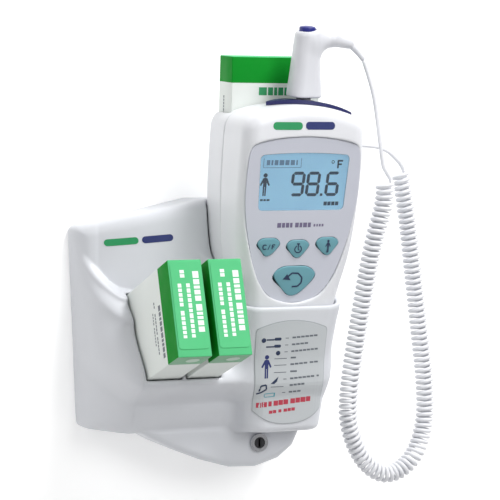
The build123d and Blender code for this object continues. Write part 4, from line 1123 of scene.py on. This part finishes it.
# -------------------------------------------------- symbol label on the cradle
def make_label():
    """Label with a grey edge, and its plain symbols, with blocks for its words."""
    half_top, half_foot = 24.0, 23.0
    steps = 12
    sweep = [1 - 2 * i / steps for i in range(steps + 1)]
    head = [(LABEL_X + (half_top - 2.5) * t, -2.0 + 4.2 * (1 - t ** 2)) for t in sweep]
    foot = [(LABEL_X + 0.8 - half_foot * t, -55.5 - 9.0 * (1 - abs(t) ** 2.6)) for t in sweep]
    left = [(LABEL_X - half_top + 0.7, -2.9), (LABEL_X - half_top, -4.8)]
    right = [(LABEL_X + half_top, -4.8), (LABEL_X + half_top - 0.7, -2.9)]
    outline = list(reversed(head + left + foot + right))
    edge = [(LABEL_X + (x - LABEL_X) * 0.985, z + (0.4 if z < -40 else -0.4)) for x, z in outline]
    rows = []
    lines = [(-9.0, (17.5,)), (-13.4, (11.5,)), (-17.8, (18.5,)), (-22.0, (4.0,)), (-26.2, (12.0, 6.0)),
             (-30.8, (5.0,)), (-35.2, (17.0, 2.0)), (-39.4, (10.5,)), (-43.8, (8.5,))]
    for z, lengths in lines:
        at = 38.5
        for length in lengths:
            pieces = max(1, int(length / 2.6))
            width = length / pieces - 0.5
            for i in range(pieces):
                middle = at + width / 2
                rows.append(rect(middle, z + 0.06 * (middle - LABEL_X), width, 1.1))
                at += width + 0.5
            at += 1.2
    dashes = [rect(35.0, z - 0.15, 2.2, 0.45) for z in (-9.0, -13.4, -17.8, -35.2, -43.8)]
    dashes += [rect(31.6, z - 0.2, 8.4, 0.45) for z in (-22.0, -26.2, -30.8)] + [rect(30.0, -40.0, 8.6, 0.45)]
    navy = person(22.3, -27.0, 15.0)
    dark = [disc(19.3, -10.2, 1.5, 16), rect(23.8, -9.9, 5.4, 0.9), rounded_rect(28.8, -9.6, 4.6, 1.9, 0.8)]
    dark += [rect(23.8, -14.4, 5.4, 0.9), rounded_rect(28.8, -14.1, 4.6, 1.9, 0.8)]
    dark.append(disc(29.6, -18.6, 1.5, 16))
    dark += [[(25.4, -38.0), (30.6, -33.6), (29.6, -36.8), (27.8, -38.2)]]
    dark += stroke([(18.4, -42.6), (19.2, -39.2), (22.4, -38.6), (22.9, -41.4), (19.6, -43.4), (17.0, -44.2)],
                   1.0)
    battery = stroke([(22.4, -46.6), (28.6, -46.2)], 0.5) + stroke([(22.2, -44.4), (28.4, -44.0)], 0.5)
    battery += stroke([(22.2, -46.4), (22.0, -44.6)], 0.5) + [rect(28.8, -45.1, 0.9, 2.6)]
    red = []
    notice = [(-50.0, 17.8, 3.2, (3.0, 3.2, -0.3, 2.2, -0.6, 3.0, 3.0, 3.2, -0.8, 3.2, 3.0, 3.4, 3.0)),
              (-55.4, 26.0, 2.0, (2.4, 2.2, -0.8, 2.0, -0.8, 2.4, 2.2, 2.4))]
    for z, at, height, widths in notice:
        for width in widths:
            if width > 0:
                red.append(rect(at + width / 2, z + 0.085 * (at - LABEL_X), width, height))
            at += abs(width) + 0.35
    surface_of = front_of(mount)
    base, top = 0.1, 0.45
    layers = [([outline], base - 0.35, top - 0.12, LABEL_EDGE), ([edge], base, top, LABEL)]
    draped("cradle_label_plate", layers, surface_of, "wall_mount", replaces=["cradle_label"])
    inks = [(rows, 0.06, PRINT_GREY), (dashes, 0.05, PRINT_GREY), (navy, 0.06, PRINT_NAVY),
            (dark, 0.06, PRINT_DARK), (battery, 0.06, PRINT_TEAL), (red, 0.06, PRINT_RED)]
    draped("label_print", [(shapes, top - 0.05, top + rise, ink) for shapes, rise, ink in inks], surface_of,
           "wall_mount", step=3.0)


make_label()


# -------------------------------------------------- paperboard cartons
BAND = 19.0                    # printed band at the carton's end
REAR_BAND = 16.5
BOARD_ROUND = 0.7              # bevel of the board's folds
FLAP = 0.4                     # thickness of the end flap over the board
CARTON_PAINTS = [MINT, GREEN, BOARD_WHITE, UNDERSIDE_SHADE_GREEN]


def make_carton(name, place, size, band, paint, body, replaces):
    """Board box with eased edges, its faces painted by where they are."""
    bm = bmesh.new()
    bmesh.ops.create_cube(bm, size=1.0)
    for v in bm.verts:
        v.co = Vector((v.co.x * size[0], v.co.y * size[1], (v.co.z - 0.5) * size[2]))
    bmesh.ops.bevel(bm, geom=bm.edges[:], offset=BOARD_ROUND, segments=3, affect="EDGES", profile=0.5)
    for at in (-band, -size[2] / 2):
        bmesh.ops.bisect_plane(bm, geom=bm.verts[:] + bm.edges[:] + bm.faces[:], plane_co=(0, 0, at),
                               plane_no=(0, 0, 1))
    bm.verts.index_update()
    points = [place(*v.co) for v in bm.verts]
    faces = [tuple(v.index for v in face.verts) for face in bm.faces]
    indices = [CARTON_PAINTS.index(paint(face.calc_center_median())) for face in bm.faces]
    bm.free()
    if np.linalg.det(np.array([place(*e) for e in np.eye(3)]) - place(0, 0, 0)) < 0:
        faces = [tuple(reversed(face)) for face in faces]
    made = add_mesh(name, points, faces, CARTON_PAINTS, body, replaces, indices=indices)
    made.data.shade_smooth()
    made.data.set_sharp_from_angle(angle=math.radians(35))


def make_cartons():
    """The three cartons with their printed flaps and sides, and a pale disc of painted reflection under each
    bay carton.
    """
    half_w, half_h = CARTON_W / 2, CARTON_H / 2

    def print_on(name, shapes, high, ink, place):
        plates(name, [(shapes, PRINT_LOW, high, ink)], place, body)

    def bay_paint(centre):
        if centre.z > -BOARD_ROUND / 2:
            return MINT
        if centre.z < -BAND:
            return BOARD_WHITE
        # the band's faces on the carton's underside take the greyer green, as painted shade and reflection
        return UNDERSIDE_SHADE_GREEN if centre.y < -half_h + BOARD_ROUND / 2 else GREEN

    for side, bay in zip(("left", "right"), BAYS):
        body = "bay_box_" + side

        def place(across, up, out, bay=bay):
            return bay.point(across, -out, up)

        make_carton(f"bay_carton_{side}_board", place, (CARTON_W, CARTON_H, CARTON_L), BAND, bay_paint, body,
                    [f"bay_carton_{side}"])
        flap = rounded_rect(0, 1.6, CARTON_W - 2.2, CARTON_H - 6.4, 2.2)
        white = words(5.9, 22.5, 3.8, (4.2, 3.2, 1.8, 2.8, 3.2, -0.4, 4.0, 1.8, 1.8, 3.0, 3.2), 0.8,
                      down=True)
        white += words(0.4, 15.0, 2.3, (2.4, 2.6, 2.0, 2.4, 2.8, 2.0, 3.0, 2.2, 2.4, 2.4, 2.0), 0.7,
                       down=True)
        white += words(-5.0, 15.0, 2.3, (2.4, 2.0, 2.2, 2.4, 2.2, -1.4, 2.8, 2.2, 2.2, 2.2, 2.0, 1.8), 0.7,
                       down=True)
        white += words(-2.6, 23.4, 2.8, (2.1, 2.1), 0.5, down=True)
        layers = [([flap], -0.1, FLAP, MINT), (white, FLAP + PRINT_LOW, FLAP + PRINT_HIGH, PRINT_WHITE)]
        plates("bay_flap_" + side, layers, place, body)
        rows = words(-23.4, 8.0, 3.6, (3.4, 2.6, 1.8, 2.6, 3.0, 3.2, 1.8, 1.8, 3.0, 3.0), 0.7, down=True)
        rows += words(-32.0, 12.0, 1.5, (1.6, 1.6, -2.4, 1.8, 1.6, 2.0, 1.6, 1.8, 1.6, -0.6, 2.0, 1.8, 1.6,
                                         1.8, 1.6), 0.5, down=True)
        rows += words(-36.0, 6.0, 1.3, (1.4, 1.4, 1.2, 1.6, -0.8, 1.4, 1.8, 1.2, 1.4, 1.6, 1.4), 0.5,
                      down=True)
        print_on("bay_print_" + side, rows, PRINT_HIGH, PRINT_GREY, lambda u, v, w: place(-half_w - w, v, u))
        # pale disc on the underside: a painted reflection
        print_on("bay_reflection_" + side, [disc(1.5, -9.5, 4.2, 28)], 0.12, REFLECTION_GREEN,
                 lambda u, v, w: place(u, -half_h - w, v))

    def rear_paint(centre):
        if centre.z > -BOARD_ROUND / 2:
            return MINT
        return GREEN if centre.z > -REAR_BAND else BOARD_WHITE

    body = "rear_box"
    make_carton("rear_carton_board", REAR.point, (REAR_W, REAR_T, REAR_L), REAR_BAND, rear_paint, body,
                ["rear_carton"])
    green = words(-11.5, -21.6, 5.0, (5.4, 3.4, 2.0, 3.4, 3.6), 0.8)
    navy = words(9.8, -21.6, 5.0, (4.4, 2.0, 2.0, 3.6, 3.6), 0.8)
    layers = [(green, PRINT_LOW, PRINT_HIGH, PRINT_GREEN), (navy, PRINT_LOW, PRINT_HIGH, PRINT_NAVY)]
    plates("rear_print", layers, lambda u, v, w: REAR.point(u, -REAR_T / 2 - w, v), body)
    rows = words(2.0, -25.0, 1.4, (1.6, 1.4, 1.8, 1.4, 1.6, 1.4, 1.4), 0.5, down=True)
    print_on("rear_side_print", rows, PRINT_HIGH, PRINT_GREY,
             lambda u, v, w: REAR.point(-REAR_W / 2 - w, u, v))


make_cartons()


# -------------------------------------------------- backdrop and light
def make_sheet(name, near, far, shade, glow):
    """Flat sheet of the studio between two level edges at (y, z) in metres, seen from its front only."""
    paint = Graph(name)
    paint.set(Base_Color=(shade, shade, shade, 1), Roughness=0.9, Emission_Color=(1, 1, 1, 1),
              Emission_Strength=glow)
    facing = paint.node("ShaderNodeNewGeometry").outputs["Backfacing"]
    clear_back = paint.node("ShaderNodeBsdfTransparent").outputs[0]
    mix = paint.node("ShaderNodeMixShader", {0: facing, 1: paint.shader.outputs[0], 2: clear_back})
    paint.tree.links.new(mix.outputs[0], paint.tree.nodes["Material Output"].inputs["Surface"])
    mesh = bpy.data.meshes.new(name)
    mesh.from_pydata([(-2, *near), (2, *near), (2, *far), (-2, *far)], [], [(0, 1, 2, 3)])
    mesh.materials.append(paint.material)
    made = bpy.data.objects.new(name, mesh)
    bpy.context.scene.collection.objects.link(made)


def make_light(name, at, size, power):
    """Round area light aimed at the model."""
    data = bpy.data.lights.new(name, "AREA")
    data.shape = "DISK"
    data.size = size
    data.energy = power
    light = bpy.data.objects.new(name, data)
    bpy.context.scene.collection.objects.link(light)
    light.location = Vector(at)
    light.rotation_euler = (TARGET - light.location).to_track_quat("-Z", "Y").to_euler()


WALL_Y, FLOOR_Z = 0.0006, -0.4    # metres; the wall stands a hair behind the wall plate
make_sheet("backdrop", (WALL_Y, FLOOR_Z), (WALL_Y, 2.5), 0.95, 0.3)
make_sheet("ground", (-2.5, FLOOR_Z), (2.5, FLOOR_Z), 0.42, 0.0)
make_light("key", (0.7, -1.0, 1.8), 0.7, 34)
make_light("fill", (-1.5, -1.5, 1.0), 1.2, 8)
make_light("front", (0.5, -2.0, 0.8), 1.0, 14)
world = bpy.data.worlds.new("studio")
world.use_nodes = True
sky = world.node_tree.nodes["Background"]
sky.inputs["Color"].default_value = (1, 1, 1, 1)
sky.inputs["Strength"].default_value = 0.21
bpy.context.scene.world = world
